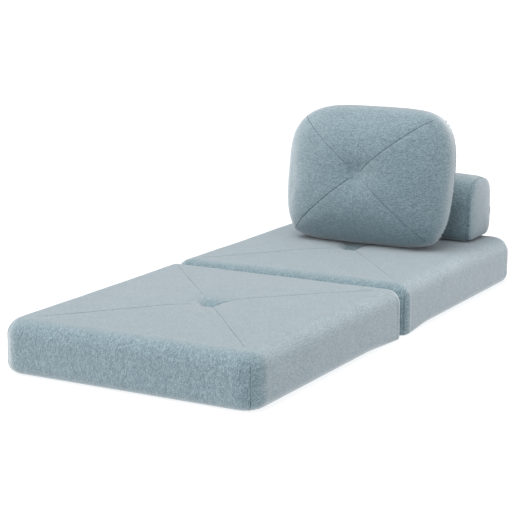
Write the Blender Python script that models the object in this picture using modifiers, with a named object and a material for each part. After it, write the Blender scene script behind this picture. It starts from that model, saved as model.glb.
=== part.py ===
"""Single sofa bed: two foam blocks hinged at a groove, a loose bolster and a loose back cushion.

Metres, +Z up. The bed lies along Y with the bolster at the +Y end, and the origin is on the floor
under the middle of the groove, which is the middle of the unfolded bed.
"""
import math

import bmesh
import bpy
from mathutils import Matrix, Vector

# Unfolded bed
BED_WIDTH = 0.900
BED_LENGTH = 2.000
BLOCK_HEIGHT = 0.170
GROOVE = 0.010
OUTER_CORNER_RADIUS = 0.075
SEAM_CORNER_RADIUS = 0.042
LEAST_CORNER_RADIUS = 0.012
TOP_EDGE_RADIUS = 0.050
FLOOR_EDGE_RADIUS = 0.035
SEAM_FLOOR_RADIUS = 0.008
FLOOR_RADIUS_RUN = 0.250
CROWN_RISE = 0.006
SIDE_DRAW_IN = 0.002
BLOCK_TUFT_DEPTH = 0.022
BLOCK_TUFT_REACH = 0.045
BLOCK_CREASE_DEPTH = 0.0015

# Cloth, foam and the room between them
COVER_CLOTH = 0.0020
FILL_ROOM = 0.0008
MESH_GAP = 0.0003
CORE_HEIGHT = 0.110

# Fold
FOLD_CLEARANCE = 0.0010
GUSSET_CLOTH = 0.0015
GUSSET_TOP = 0.148
GUSSET_BOTTOM = 0.100
GUSSET_LENGTH = 0.800

# Tufting inside the blocks and the cushion
CORD_RADIUS = 0.0012
CORD_HOLE_RADIUS = 0.0020
ANCHOR_RADIUS = 0.0160
ANCHOR_THICKNESS = 0.0040
ANCHOR_ROUND = 0.0010
ANCHOR_ROOM = 0.0005

# Bolster
BOLSTER_LENGTH = 0.700
BOLSTER_DEPTH = 0.215
BOLSTER_HEIGHT = 0.236
BOLSTER_SETBACK = 0.012
BOLSTER_REAR_FLOOR_RADIUS = 0.050
BOLSTER_REAR_TOP_RADIUS = 0.070
BOLSTER_FRONT_TOP_RADIUS = 0.110
BOLSTER_FRONT_FLOOR_RADIUS = 0.030
BOLSTER_BULGE = 0.007
BOLSTER_SEAM_PULL = 0.003
BOLSTER_END_DOME = 0.014
BOLSTER_END_LIP = 0.004
BOLSTER_CAP_GAP = 0.0012
TAB_REACH = 0.008
TAB_HEIGHT = 0.032
TAB_THICKNESS = 0.0012
TAB_RAISE = 0.072

# Back cushion
CUSHION_WIDTH = 0.656
CUSHION_HEIGHT = 0.516
CUSHION_DEPTH = 0.270
CUSHION_SINK = 0.008
CUSHION_SHIFT = 0.020
CUSHION_STANDOFF = 0.146
CUSHION_LEAN = math.radians(10.3)
CUSHION_PLAN_POWER = 3.8
CUSHION_CROWN_POWER = 2.4
CUSHION_TUFT_DEPTH = 0.024
CUSHION_TUFT_REACH = 0.055
CUSHION_CHANNEL_DEPTH = 0.004
CUSHION_SEAM_HALF_GAP = 0.0009
CUSHION_ZIP_TILT = math.radians(40)

# Zip fasteners
ZIP_TAPE_WIDTH = 0.016
ZIP_TAPE_THICKNESS = 0.0008
ZIP_CHAIN_WIDTH = 0.0050
ZIP_CHAIN_RISE = 0.0012
ZIP_END_MARGIN = 0.020
ZIP_SLIDER_LENGTH = 0.010
ZIP_SLIDER_WIDTH = 0.009
ZIP_SLIDER_THICKNESS = 0.0025
ZIP_SLIDER_ROUND = 0.0006
ZIP_PULL_LENGTH = 0.020
ZIP_PULL_WIDTH = 0.005
ZIP_PULL_THICKNESS = 0.0010
ZIP_PULL_ROUND = 0.0003
BOLSTER_ZIP_LENGTH = 0.500
CUSHION_ZIP_LENGTH = 0.300

# Counts of facets
ARC_STEPS = 4
BLOCK_SIDE_POINTS = 3
BOLSTER_SIDE_POINTS = 1
CUSHION_COLUMNS = 32
EDGE_STEPS = 3
FLOOR_STEPS = 2
ROUND_SIDES = 16

# Shares of the way from a tuft to the rounded edge, or of a half length
BLOCK_RING_SHARES = (0.06, 0.14, 0.27, 0.45, 0.65, 0.84, 1.0)
SLEEVE_RING_SHARES = (1.0, 0.8, 0.4, 0.0, -0.4, -0.8, -1.0)
CAP_RING_SHARES = (0.45, 0.78, 0.94)
CAP_DOME_POWER_SHARE = 0.6
CUSHION_RING_SHARES = (0.0, 0.08, 0.2, 0.4, 0.6, 0.76, 0.88, 0.96, 1.0)
CREASE_SPREAD_SHARE = 0.08
CHANNEL_SHARPNESS = 16

# Worked out from the sizes above
BLOCK_LENGTH = (BED_LENGTH - GROOVE) / 2
FILL_DEPTH = COVER_CLOTH + FILL_ROOM
FOLD_AXIS_HEIGHT = BLOCK_HEIGHT + CROWN_RISE + FOLD_CLEARANCE
RIGHT = Vector((1, 0, 0))
REARWARD = Vector((0, 1, 0))
UP = Vector((0, 0, 1))

FABRIC_COLOUR = (0.36, 0.46, 0.49, 1)
SHADOW_CLOTH_COLOUR = (0.10, 0.15, 0.17, 1)
BASE_CLOTH_COLOUR = (0.16, 0.18, 0.19, 1)
FOAM_COLOUR = (0.80, 0.74, 0.52, 1)
SOFT_FOAM_COLOUR = (0.78, 0.80, 0.84, 1)
CORD_COLOUR = (0.70, 0.70, 0.66, 1)
PLASTIC_COLOUR = (0.03, 0.03, 0.03, 1)
ZIP_COLOUR = (0.15, 0.21, 0.23, 1)
ZINC_COLOUR = (0.55, 0.55, 0.56, 1)


def clear_scene():
    for thing in list(bpy.data.objects):
        bpy.data.objects.remove(thing, do_unlink=True)


def new_collection(name):
    group = bpy.data.collections.new(name)
    bpy.context.scene.collection.children.link(group)
    return group


def finish(name, colour, roughness, metallic=0.0):
    """A plain material in one colour."""
    material = bpy.data.materials.new(name)
    material.use_nodes = True
    shader = material.node_tree.nodes["Principled BSDF"]
    shader.inputs["Base Color"].default_value = colour
    shader.inputs["Roughness"].default_value = roughness
    shader.inputs["Metallic"].default_value = metallic
    return material


def add_pivot(name, group, place, parent=None):
    """An empty that carries the pieces of one moving body."""
    pivot = bpy.data.objects.new(name, None)
    group.objects.link(pivot)
    pivot.parent = parent
    pivot.location = place - world_place(parent)
    return pivot


def world_place(pivot):
    """Where an unturned empty stands, through its chain of parents."""
    place = Vector()
    while pivot is not None:
        place = place + pivot.location
        pivot = pivot.parent
    return place


def add_piece(name, data, group, material, place, parent=None, turn=None):
    piece = bpy.data.objects.new(name, data)
    group.objects.link(piece)
    if material is not None:
        data.materials.append(material)
    piece.parent = parent
    piece.location = place - world_place(parent)
    if turn is not None:
        piece.rotation_euler = turn.to_euler()
    return piece


def mesh_from(name, net):
    """A smooth shaded mesh from a bmesh."""
    data = bpy.data.meshes.new(name)
    net.to_mesh(data)
    net.free()
    data.shade_smooth()
    data.set_sharp_from_angle(angle=math.radians(50))
    return data


def ring_net(columns, rows, place, first=0, last=None):
    """A sphere's rings with each point moved to place(row, column), cut to rows first to last."""
    last = rows if last is None else last
    net = bmesh.new()
    bmesh.ops.create_uvsphere(net, u_segments=columns, v_segments=rows, radius=1)
    spare = []
    for vert in net.verts:
        row = round(math.acos(max(-1, min(1, vert.co.z))) / math.pi * rows)
        column = round(math.atan2(vert.co.y, vert.co.x) / math.tau * columns) % columns
        if first <= row <= last:
            vert.co = place(row, column)
        else:
            spare.append(vert)
    bmesh.ops.delete(net, geom=spare, context="VERTS")
    return net


def thicken(piece, thickness):
    """Cloth thickness, laid inwards from the modelled face."""
    shell = piece.modifiers.new("cloth", "SOLIDIFY")
    shell.thickness = thickness
    shell.offset = -1


def soften(piece, width, segments=2):
    bevel = piece.modifiers.new("rounding", "BEVEL")
    bevel.width = width
    bevel.segments = segments
    bevel.limit_method = "ANGLE"


def combine(piece, tool, operation):
    change = piece.modifiers.new(operation.lower(), "BOOLEAN")
    change.object = tool
    change.operation = operation


def round_rod(name, radius, start, end, group, material, parent=None, sides=ROUND_SIDES):
    """A solid rod between two points in the world."""
    net = bmesh.new()
    length = (end - start).length
    bmesh.ops.create_cone(net, cap_ends=True, segments=sides, radius1=radius, radius2=radius, depth=length)
    turn = UP.rotation_difference(end - start)
    return add_piece(name, mesh_from(name, net), group, material, (start + end) / 2, parent, turn)


def hide_tool(tool):
    tool.hide_render = True
    tool.display_type = "WIRE"
    return tool


def rounded_box(name, size, round_width, group, material, place, parent=None, turn=None):
    net = bmesh.new()
    bmesh.ops.create_cube(net, size=1)
    bmesh.ops.scale(net, vec=size, verts=net.verts)
    piece = add_piece(name, mesh_from(name, net), group, material, place, parent, turn)
    soften(piece, round_width)
    return piece


def extruded(name, outline, length, frame, group, material, place, parent=None):
    """A flat outline in the frame's first two axes, drawn out to length along its third."""
    curve = bpy.data.curves.new(name, "CURVE")
    curve.dimensions = "2D"
    curve.fill_mode = "BOTH"
    curve.extrude = length / 2
    line = curve.splines.new("POLY")
    line.points.add(len(outline) - 1)
    for point, (across, along) in zip(line.points, outline):
        point.co = (across, along, 0, 1)
    line.use_cyclic_u = True
    turn = Matrix(frame).transposed().to_quaternion()
    return add_piece(name, curve, group, material, place, parent, turn)


def rounded_loop(low, high, radii, side_points, inset=0.0, draw_in=0.0):
    """Points and outward directions round a box, anticlockwise from the corner at high x and low y.

    Each corner has its own radius. The inset loop keeps the same number of points, and draw_in
    pulls the middle of each side in.
    """
    left, right = low[0] + inset, high[0] - inset
    near, far = low[1] + inset, high[1] - inset
    corners = ((right, near, -1, 1), (right, far, -1, -1), (left, far, 1, -1), (left, near, 1, 1))
    arcs = []
    for turn, ((x, y, to_middle_x, to_middle_y), radius) in enumerate(zip(corners, radii)):
        bend = max(radius - inset, LEAST_CORNER_RADIUS)
        middle = Vector((x + to_middle_x * bend, y + to_middle_y * bend))
        arc = []
        for step in range(ARC_STEPS + 1):
            angle = (turn - 1 + step / ARC_STEPS) * math.pi / 2
            outward = Vector((math.cos(angle), math.sin(angle)))
            arc.append((middle + outward * bend, outward))
        arcs.append(arc)
    loop = []
    for turn, arc in enumerate(arcs):
        following = arcs[(turn + 1) % len(arcs)]
        start, outward = arc[-1]
        end = following[0][0]
        loop.extend(arc)
        for step in range(1, side_points + 1):
            share = step / (side_points + 1)
            pull = draw_in * math.sin(math.pi * share)
            loop.append((start.lerp(end, share) - outward * pull, outward))
    return loop


class Block:
    """One foam block of the bed, lying along Y between the groove and an end."""

    def __init__(self, name, seam_side):
        self.name = name
        self.seam_y = -seam_side * GROOVE / 2
        self.end_y = self.seam_y - seam_side * BLOCK_LENGTH
        self.middle = Vector((0, (self.seam_y + self.end_y) / 2))
        self.low = (-BED_WIDTH / 2, min(self.seam_y, self.end_y))
        self.high = (BED_WIDTH / 2, max(self.seam_y, self.end_y))
        outer, seam = OUTER_CORNER_RADIUS, SEAM_CORNER_RADIUS
        self.radii = (outer, seam, seam, outer) if seam_side > 0 else (seam, outer, outer, seam)
        self.columns = 4 * (ARC_STEPS + 1 + BLOCK_SIDE_POINTS)
        self.top_rows = len(BLOCK_RING_SHARES)
        self.side_row = self.top_rows + EDGE_STEPS + 1

    def loop(self, inset, height):
        draw_in = SIDE_DRAW_IN * (height / BLOCK_HEIGHT) ** 2
        return rounded_loop(self.low, self.high, self.radii, BLOCK_SIDE_POINTS, inset, draw_in)

    def shares_from_middle(self, x, y):
        across = min(1, abs(x) / (BED_WIDTH / 2 - TOP_EDGE_RADIUS))
        along = min(1, abs(y - self.middle.y) / (BLOCK_LENGTH / 2 - TOP_EDGE_RADIUS))
        return across, along

    def rest_height(self, x, y):
        """Height of the crowned top without its tuft and creases, where things stand on it."""
        across, along = self.shares_from_middle(x, y)
        return BLOCK_HEIGHT + CROWN_RISE * (1 - across ** 2) * (1 - along ** 2)

    def top_height(self, x, y):
        """Height of the upholstered top, with its crown, tuft and the creases to its corners."""
        across, along = self.shares_from_middle(x, y)
        reach = math.hypot(x, y - self.middle.y) / BLOCK_TUFT_REACH
        off_diagonal = (across - along) / CREASE_SPREAD_SHARE
        fade = (1 - across ** 2) * (1 - along ** 2)
        crease = BLOCK_CREASE_DEPTH * math.exp(-off_diagonal ** 2) * fade
        return self.rest_height(x, y) - BLOCK_TUFT_DEPTH * math.exp(-reach) - crease

    def floor_radius(self, point):
        """Radius of the bottom edge, which is nearly square beside the groove."""
        share = min(1, abs(point.y - self.seam_y) / FLOOR_RADIUS_RUN)
        eased = share * share * (3 - 2 * share)
        return SEAM_FLOOR_RADIUS + (FLOOR_EDGE_RADIUS - SEAM_FLOOR_RADIUS) * eased

    def top_point(self, row, column, depth):
        """A point of the top, its rounded edge included, depth inside the outer face."""
        if row == 0:
            return Vector((0, self.middle.y, self.top_height(0, self.middle.y) - depth))
        if row <= self.top_rows:
            edge, _ = self.loop(TOP_EDGE_RADIUS, BLOCK_HEIGHT)[column]
            spot = self.middle.lerp(edge, BLOCK_RING_SHARES[row - 1])
            return Vector((spot.x, spot.y, self.top_height(spot.x, spot.y) - depth))
        angle = (row - self.top_rows) / EDGE_STEPS * math.pi / 2
        bend = TOP_EDGE_RADIUS - depth
        height = BLOCK_HEIGHT - TOP_EDGE_RADIUS + bend * math.cos(angle)
        spot, _ = self.loop(TOP_EDGE_RADIUS - bend * math.sin(angle), height)[column]
        return Vector((spot.x, spot.y, height))

    def floor_point(self, step, column, depth):
        """A point of the rounded bottom edge: step 0 at the side, FLOOR_STEPS at the floor."""
        spot, outward = self.loop(0, 0)[column]
        radius = self.floor_radius(spot)
        angle = step / FLOOR_STEPS * math.pi / 2
        spot = spot - outward * (radius - (radius - depth) * math.cos(angle))
        return Vector((spot.x, spot.y, radius - (radius - depth) * math.sin(angle)))

    def side_point(self, column, height, depth):
        spot, _ = self.loop(depth, height)[column]
        return Vector((spot.x, spot.y, height))


def build_cover(block, group, material, parent):
    """The upholstered cover: one open cloth shell down to the rim round the base cloth."""
    def place(row, column):
        if row < block.side_row:
            return block.top_point(row, column, 0)
        return block.floor_point(row - block.side_row, column, 0)

    last = block.side_row + FLOOR_STEPS
    net = ring_net(block.columns, last + 1, place, last=last)
    points = [vert.co.copy() for vert in net.verts]
    data = mesh_from(f"{block.name}_cover", net)
    cover = add_piece(f"{block.name}_cover", shifted(data, world_place(parent)), group, material,
                      world_place(parent), parent)
    thicken(cover, COVER_CLOTH)
    return points


def shifted(data, origin):
    """The same mesh measured from another origin."""
    data.transform(Matrix.Translation(-origin))
    return data


def build_comfort_layer(block, group, material, tool, parent):
    """The softer top foam, which follows the crown and the tuft."""
    bottom = COVER_CLOTH + MESH_GAP + CORE_HEIGHT + MESH_GAP

    def place(row, column):
        if row < block.side_row:
            return block.top_point(row, column, FILL_DEPTH)
        if row == block.side_row:
            return block.side_point(column, bottom, FILL_DEPTH)
        return Vector((0, block.middle.y, bottom))

    name = f"{block.name}_comfort_layer"
    data = mesh_from(name, ring_net(block.columns, block.side_row + 1, place))
    layer = add_piece(name, shifted(data, world_place(parent)), group, material,
                      world_place(parent), parent)
    combine(layer, tool, "DIFFERENCE")


def build_core(block, group, material, tools, parent):
    """The firm foam under the comfort layer, recessed for the tuft's anchor."""
    top = COVER_CLOTH + MESH_GAP + CORE_HEIGHT
    floor_row = 2

    def place(row, column):
        if row == 0:
            return Vector((0, block.middle.y, top))
        if row == 1:
            return block.side_point(column, top, FILL_DEPTH)
        if row <= floor_row + FLOOR_STEPS:
            return block.floor_point(row - floor_row, column, FILL_DEPTH)
        return Vector((0, block.middle.y, FILL_DEPTH))

    name = f"{block.name}_foam_core"
    data = mesh_from(name, ring_net(block.columns, floor_row + FLOOR_STEPS + 1, place))
    core = add_piece(name, shifted(data, world_place(parent)), group, material,
                     world_place(parent), parent)
    for tool in tools:
        combine(core, tool, "DIFFERENCE")


def build_base_panel(block, group, material, parent):
    """The flat cloth that closes the cover underneath; its edge slopes in under the rim."""
    loop = block.loop(0, 0)

    def place(row, column):
        height = COVER_CLOTH if row < 2 else 0.0
        if row in (0, 3):
            return Vector((0, block.middle.y, height))
        spot, outward = loop[column]
        spot = spot - outward * (block.floor_radius(spot) + MESH_GAP + height)
        return Vector((spot.x, spot.y, height))

    name = f"{block.name}_base_panel"
    data = mesh_from(name, ring_net(block.columns, 3, place))
    add_piece(name, shifted(data, world_place(parent)), group, material, world_place(parent), parent)


def build_tuft(name, anchor_face, inward, cord_end, group, tools_group, finishes, parent):
    """An anchor disc on the fill's face and the cord from it to the tuft; returns the cutters.

    anchor_face is the middle of the disc's outer face and inward points into the fill.
    """
    anchor_inner = anchor_face + inward * ANCHOR_THICKNESS
    anchor = round_rod(f"{name}_tuft_anchor", ANCHOR_RADIUS, anchor_face, anchor_inner, group,
                       finishes["plastic"], parent, sides=2 * ROUND_SIDES)
    soften(anchor, ANCHOR_ROUND, segments=1)
    cord_start = anchor_inner + inward * MESH_GAP
    round_rod(f"{name}_tuft_cord", CORD_RADIUS, cord_start, cord_end, group, finishes["cord"],
              parent, sides=ROUND_SIDES // 2)
    beyond = inward * (ANCHOR_THICKNESS + FILL_DEPTH)
    hole = round_rod(f"{name}_cord_hole", CORD_HOLE_RADIUS, anchor_face - beyond,
                     cord_end + beyond, tools_group, None)
    recess = round_rod(f"{name}_anchor_recess", ANCHOR_RADIUS + ANCHOR_ROOM, anchor_face - beyond,
                       anchor_inner + inward * ANCHOR_ROOM, tools_group, None, sides=2 * ROUND_SIDES)
    return hide_tool(hole), hide_tool(recess)


def build_zip(name, points, middle, along, outward, length, group, tools_group, finishes, parent):
    """A zip on the outermost line of a cover, seen along outward, with a slider that runs on it.

    points are the cover's outer points. The tape lies flat on the outermost of those within its
    length, and the slider waits at the end that along points away from.
    """
    across = outward.cross(along)
    near = [point for point in points if abs((point - middle).dot(along)) <= length / 2]
    seat = max(near, key=outward.dot)
    origin = middle - outward * (middle - seat).dot(outward) - across * (middle - seat).dot(across)
    origin = origin + outward * MESH_GAP
    half_tape, half_chain = ZIP_TAPE_WIDTH / 2, ZIP_CHAIN_WIDTH / 2
    tape, chain = ZIP_TAPE_THICKNESS, ZIP_TAPE_THICKNESS + ZIP_CHAIN_RISE
    outline = ((-half_tape, 0), (half_tape, 0), (half_tape, tape), (half_chain, tape),
               (half_chain, chain), (-half_chain, chain), (-half_chain, tape), (-half_tape, tape))
    frame = (across, outward, along)
    extruded(f"{name}_zip_tape", outline, length, frame, group, finishes["zip"], origin, parent)

    turn = Matrix(frame).transposed().to_quaternion()
    rise = chain + MESH_GAP + ZIP_SLIDER_THICKNESS / 2
    start = origin + outward * rise - along * (length / 2 - ZIP_END_MARGIN)
    slider = rounded_box(f"{name}_zip_slider", (ZIP_SLIDER_WIDTH, ZIP_SLIDER_THICKNESS, ZIP_SLIDER_LENGTH),
                         ZIP_SLIDER_ROUND, group, finishes["zinc"], start, parent, turn)
    pull_middle = start + along * ZIP_PULL_LENGTH / 2
    pull = rounded_box(f"{name}_zip_pull", (ZIP_PULL_WIDTH, ZIP_PULL_THICKNESS, ZIP_PULL_LENGTH),
                       ZIP_PULL_ROUND, tools_group, None, pull_middle, None, turn)
    combine(slider, hide_tool(pull), "UNION")


def build_block(block, group, tools_group, finishes, parent):
    points = build_cover(block, group, finishes["fabric"], parent)
    build_base_panel(block, group, finishes["base"], parent)
    middle = Vector((0, block.middle.y, 0))
    anchor_face = middle + UP * (COVER_CLOTH + MESH_GAP)
    tuft_height = block.top_height(0, block.middle.y)
    cord_end = middle + UP * (tuft_height - COVER_CLOTH - MESH_GAP)
    hole, recess = build_tuft(block.name, anchor_face, UP, cord_end, group, tools_group,
                              finishes, parent)
    build_core(block, group, finishes["foam"], (hole, recess), parent)
    build_comfort_layer(block, group, finishes["soft_foam"], hole, parent)
    return points


def build_hinge_gusset(block, seam_side, group, material, parent):
    """Half of the cloth strip in the groove: a wall on the block's side and half the fold above."""
    wall_outer = GROOVE / 2 - MESH_GAP
    wall_inner = wall_outer - GUSSET_CLOTH
    fold_tip = MESH_GAP / 2
    fold_bottom = GUSSET_TOP - GUSSET_CLOTH
    outline = [(wall_inner, GUSSET_BOTTOM), (wall_outer, GUSSET_BOTTOM), (wall_outer, GUSSET_TOP),
               (fold_tip, GUSSET_TOP), (fold_tip, fold_bottom), (wall_inner, fold_bottom)]
    outline = [(-seam_side * y, z) for y, z in outline]
    frame = (REARWARD, UP, RIGHT)
    extruded(f"hinge_gusset_{block.name}", outline, GUSSET_LENGTH, frame, group, material,
             Vector(), parent)


class Bolster:
    """The loose bolster on the rear end of the bed."""

    def __init__(self, rear_block):
        rear = BED_LENGTH / 2 - BOLSTER_SETBACK
        front = rear - BOLSTER_DEPTH
        self.floor = rear_block.rest_height(0, front) + MESH_GAP
        self.low = (front, self.floor)
        self.high = (rear, self.floor + BOLSTER_HEIGHT)
        self.middle = (Vector(self.low) + Vector(self.high)) / 2
        self.radii = (BOLSTER_REAR_FLOOR_RADIUS, BOLSTER_REAR_TOP_RADIUS,
                      BOLSTER_FRONT_TOP_RADIUS, BOLSTER_FRONT_FLOOR_RADIUS)
        self.columns = 4 * (ARC_STEPS + 1 + BOLSTER_SIDE_POINTS)
        self.half = BOLSTER_LENGTH / 2
        self.cap_rows = len(CAP_RING_SHARES) + 3

    def section_point(self, share, column, depth):
        """A point of the section at a share of the half length, depth inside the outer face."""
        spot, outward = rounded_loop(self.low, self.high, self.radii, BOLSTER_SIDE_POINTS)[column]
        lift = (spot.y - self.low[1]) / BOLSTER_HEIGHT
        swell = BOLSTER_BULGE * (1 - share ** 2) * lift - BOLSTER_SEAM_PULL * share ** 8 * lift
        return spot + outward * (swell - depth)

    def sleeve_point(self, share, column, depth):
        spot = self.section_point(share, column, depth)
        return Vector((share * self.half, spot.x, spot.y))

    def cap_point(self, side, row, column, depth):
        """A point of an end cap: row 0 in its middle and the last row on its rim."""
        rim = self.half + BOLSTER_CAP_GAP
        if row == 0:
            return Vector((side * (rim + BOLSTER_END_LIP + BOLSTER_END_DOME - depth), *self.middle))
        edge = self.section_point(1, column, depth)
        if row == self.cap_rows - 1:
            return Vector((side * rim, edge.x, edge.y))
        share = 1.0 if row == self.cap_rows - 2 else CAP_RING_SHARES[row - 1]
        dome = BOLSTER_END_DOME * (1 - share ** 2) ** CAP_DOME_POWER_SHARE
        spot = self.middle.lerp(edge, share)
        return Vector((side * (rim + BOLSTER_END_LIP + dome - depth), spot.x, spot.y))


def build_bolster(bolster, group, tools_group, finishes, parent):
    origin = world_place(parent)
    rings = SLEEVE_RING_SHARES

    def place_sleeve(row, column):
        return bolster.sleeve_point(rings[row - 1], column, 0)

    net = ring_net(bolster.columns, len(rings) + 1, place_sleeve, first=1, last=len(rings))
    points = [vert.co.copy() for vert in net.verts]
    data = shifted(mesh_from("bolster_cover", net), origin)
    cover = add_piece("bolster_cover", data, group, finishes["fabric"], origin, parent)
    thicken(cover, COVER_CLOTH)

    cap_rows = bolster.cap_rows
    for side, name in ((1, "bolster_end_cap_right"), (-1, "bolster_end_cap_left")):
        def place_cap(row, column):
            return bolster.cap_point(side, row if side > 0 else cap_rows - row, column, 0)

        first, last = (0, cap_rows - 1) if side > 0 else (1, cap_rows)
        net = ring_net(bolster.columns, cap_rows, place_cap, first=first, last=last)
        cap = add_piece(name, shifted(mesh_from(name, net), origin), group, finishes["fabric"],
                        origin, parent)
        thicken(cap, COVER_CLOTH)

    inner_rings = rings[1:-1]
    rows = 2 * cap_rows + len(inner_rings) - 1

    def place_core(row, column):
        if row < cap_rows:
            return bolster.cap_point(1, row, column, FILL_DEPTH)
        if rows - row < cap_rows:
            return bolster.cap_point(-1, rows - row, column, FILL_DEPTH)
        return bolster.sleeve_point(inner_rings[row - cap_rows], column, FILL_DEPTH)

    data = mesh_from("bolster_foam_core", ring_net(bolster.columns, rows, place_core))
    add_piece("bolster_foam_core", shifted(data, origin), group, finishes["foam"], origin, parent)
    build_label_tab(bolster, group, finishes["zip"], parent)
    return points


def build_label_tab(bolster, group, material, parent):
    """The plain cloth tab sewn into the seam at the right end, standing out to the rear."""
    rear = bolster.high[0] - BOLSTER_SEAM_PULL * TAB_RAISE / BOLSTER_HEIGHT + MESH_GAP
    place = Vector((bolster.half + BOLSTER_CAP_GAP / 2, rear + TAB_REACH / 2,
                    bolster.floor + TAB_RAISE + TAB_HEIGHT / 2))
    rounded_box("bolster_label_tab", (TAB_THICKNESS, TAB_REACH, TAB_HEIGHT), TAB_THICKNESS / 4,
                group, material, place, parent)


class Cushion:
    """The loose back cushion, standing on the rear block and leaning back to the bolster."""

    def __init__(self, rear_block, bolster):
        middle_y = bolster.low[0] - CUSHION_STANDOFF
        half_rise = CUSHION_HEIGHT / 2 * math.cos(CUSHION_LEAN)
        middle_z = rear_block.rest_height(0, middle_y) - CUSHION_SINK + half_rise
        self.rear_block = rear_block
        self.place = Vector((CUSHION_SHIFT, middle_y, middle_z))
        self.across = RIGHT
        self.rearward = Vector((0, math.cos(CUSHION_LEAN), -math.sin(CUSHION_LEAN)))
        self.upward = Vector((0, math.sin(CUSHION_LEAN), math.cos(CUSHION_LEAN)))
        self.rings = len(CUSHION_RING_SHARES) - 1

    def swell(self, share, angle, reach):
        """Half the thickness at a share of the way out, with the tuft and the sewn channels."""
        thickness = CUSHION_DEPTH / 2 * (1 - share ** CUSHION_CROWN_POWER) ** (1 / CUSHION_CROWN_POWER)
        tuft = CUSHION_TUFT_DEPTH * math.exp(-reach / CUSHION_TUFT_REACH)
        channel = abs(math.sin(2 * angle)) ** CHANNEL_SHARPNESS * 4 * share * (1 - share)
        return thickness - tuft - CUSHION_CHANNEL_DEPTH * channel

    def point(self, row, column, depth, half_gap):
        """A point of the cushion: row 0 is the front tuft, the middle row its seam."""
        facing = -1 if row <= self.rings else 1
        share = CUSHION_RING_SHARES[row if row <= self.rings else 2 * self.rings - row]
        angle = column / CUSHION_COLUMNS * math.tau
        power = 2 / CUSHION_PLAN_POWER
        cosine, sine = math.cos(angle), math.sin(angle)
        wide = math.copysign(abs(cosine) ** power, cosine) * share * (CUSHION_WIDTH / 2 - depth)
        tall = math.copysign(abs(sine) ** power, sine) * share * (CUSHION_HEIGHT / 2 - depth)
        if row == self.rings:
            deep = half_gap
        else:
            deep = facing * (self.swell(share, angle, math.hypot(wide, tall)) - depth)
        spot = self.place + self.across * wide + self.upward * tall + self.rearward * deep
        spot.z = max(spot.z, self.rear_block.rest_height(spot.x, spot.y) + MESH_GAP + depth)
        return spot


def build_cushion(cushion, group, tools_group, finishes, parent):
    origin = world_place(parent)
    rows = 2 * cushion.rings
    points = []
    halves = (("cushion_front_panel", 0, cushion.rings, -CUSHION_SEAM_HALF_GAP),
              ("cushion_back_panel", cushion.rings, rows, CUSHION_SEAM_HALF_GAP))
    for name, first, last, half_gap in halves:
        def place_panel(row, column):
            return cushion.point(row, column, 0, half_gap)

        net = ring_net(CUSHION_COLUMNS, rows, place_panel, first=first, last=last)
        points = [vert.co.copy() for vert in net.verts]
        panel = add_piece(name, shifted(mesh_from(name, net), origin), group, finishes["fabric"],
                          origin, parent)
        thicken(panel, COVER_CLOTH)

    inward = -cushion.rearward
    skin = cushion.point(rows, 0, 0, 0)
    anchor_face = skin + inward * (COVER_CLOTH + MESH_GAP)
    cord_end = cushion.point(0, 0, 0, 0) - inward * (COVER_CLOTH + MESH_GAP)
    hole, recess = build_tuft("cushion", anchor_face, inward, cord_end, group, tools_group,
                              finishes, parent)

    def place_core(row, column):
        return cushion.point(row, column, FILL_DEPTH, 0)

    data = mesh_from("cushion_fibre_core", ring_net(CUSHION_COLUMNS, rows, place_core))
    core = add_piece("cushion_fibre_core", shifted(data, origin), group, finishes["soft_foam"],
                     origin, parent)
    combine(core, hole, "DIFFERENCE")
    combine(core, recess, "DIFFERENCE")
    return points


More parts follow.
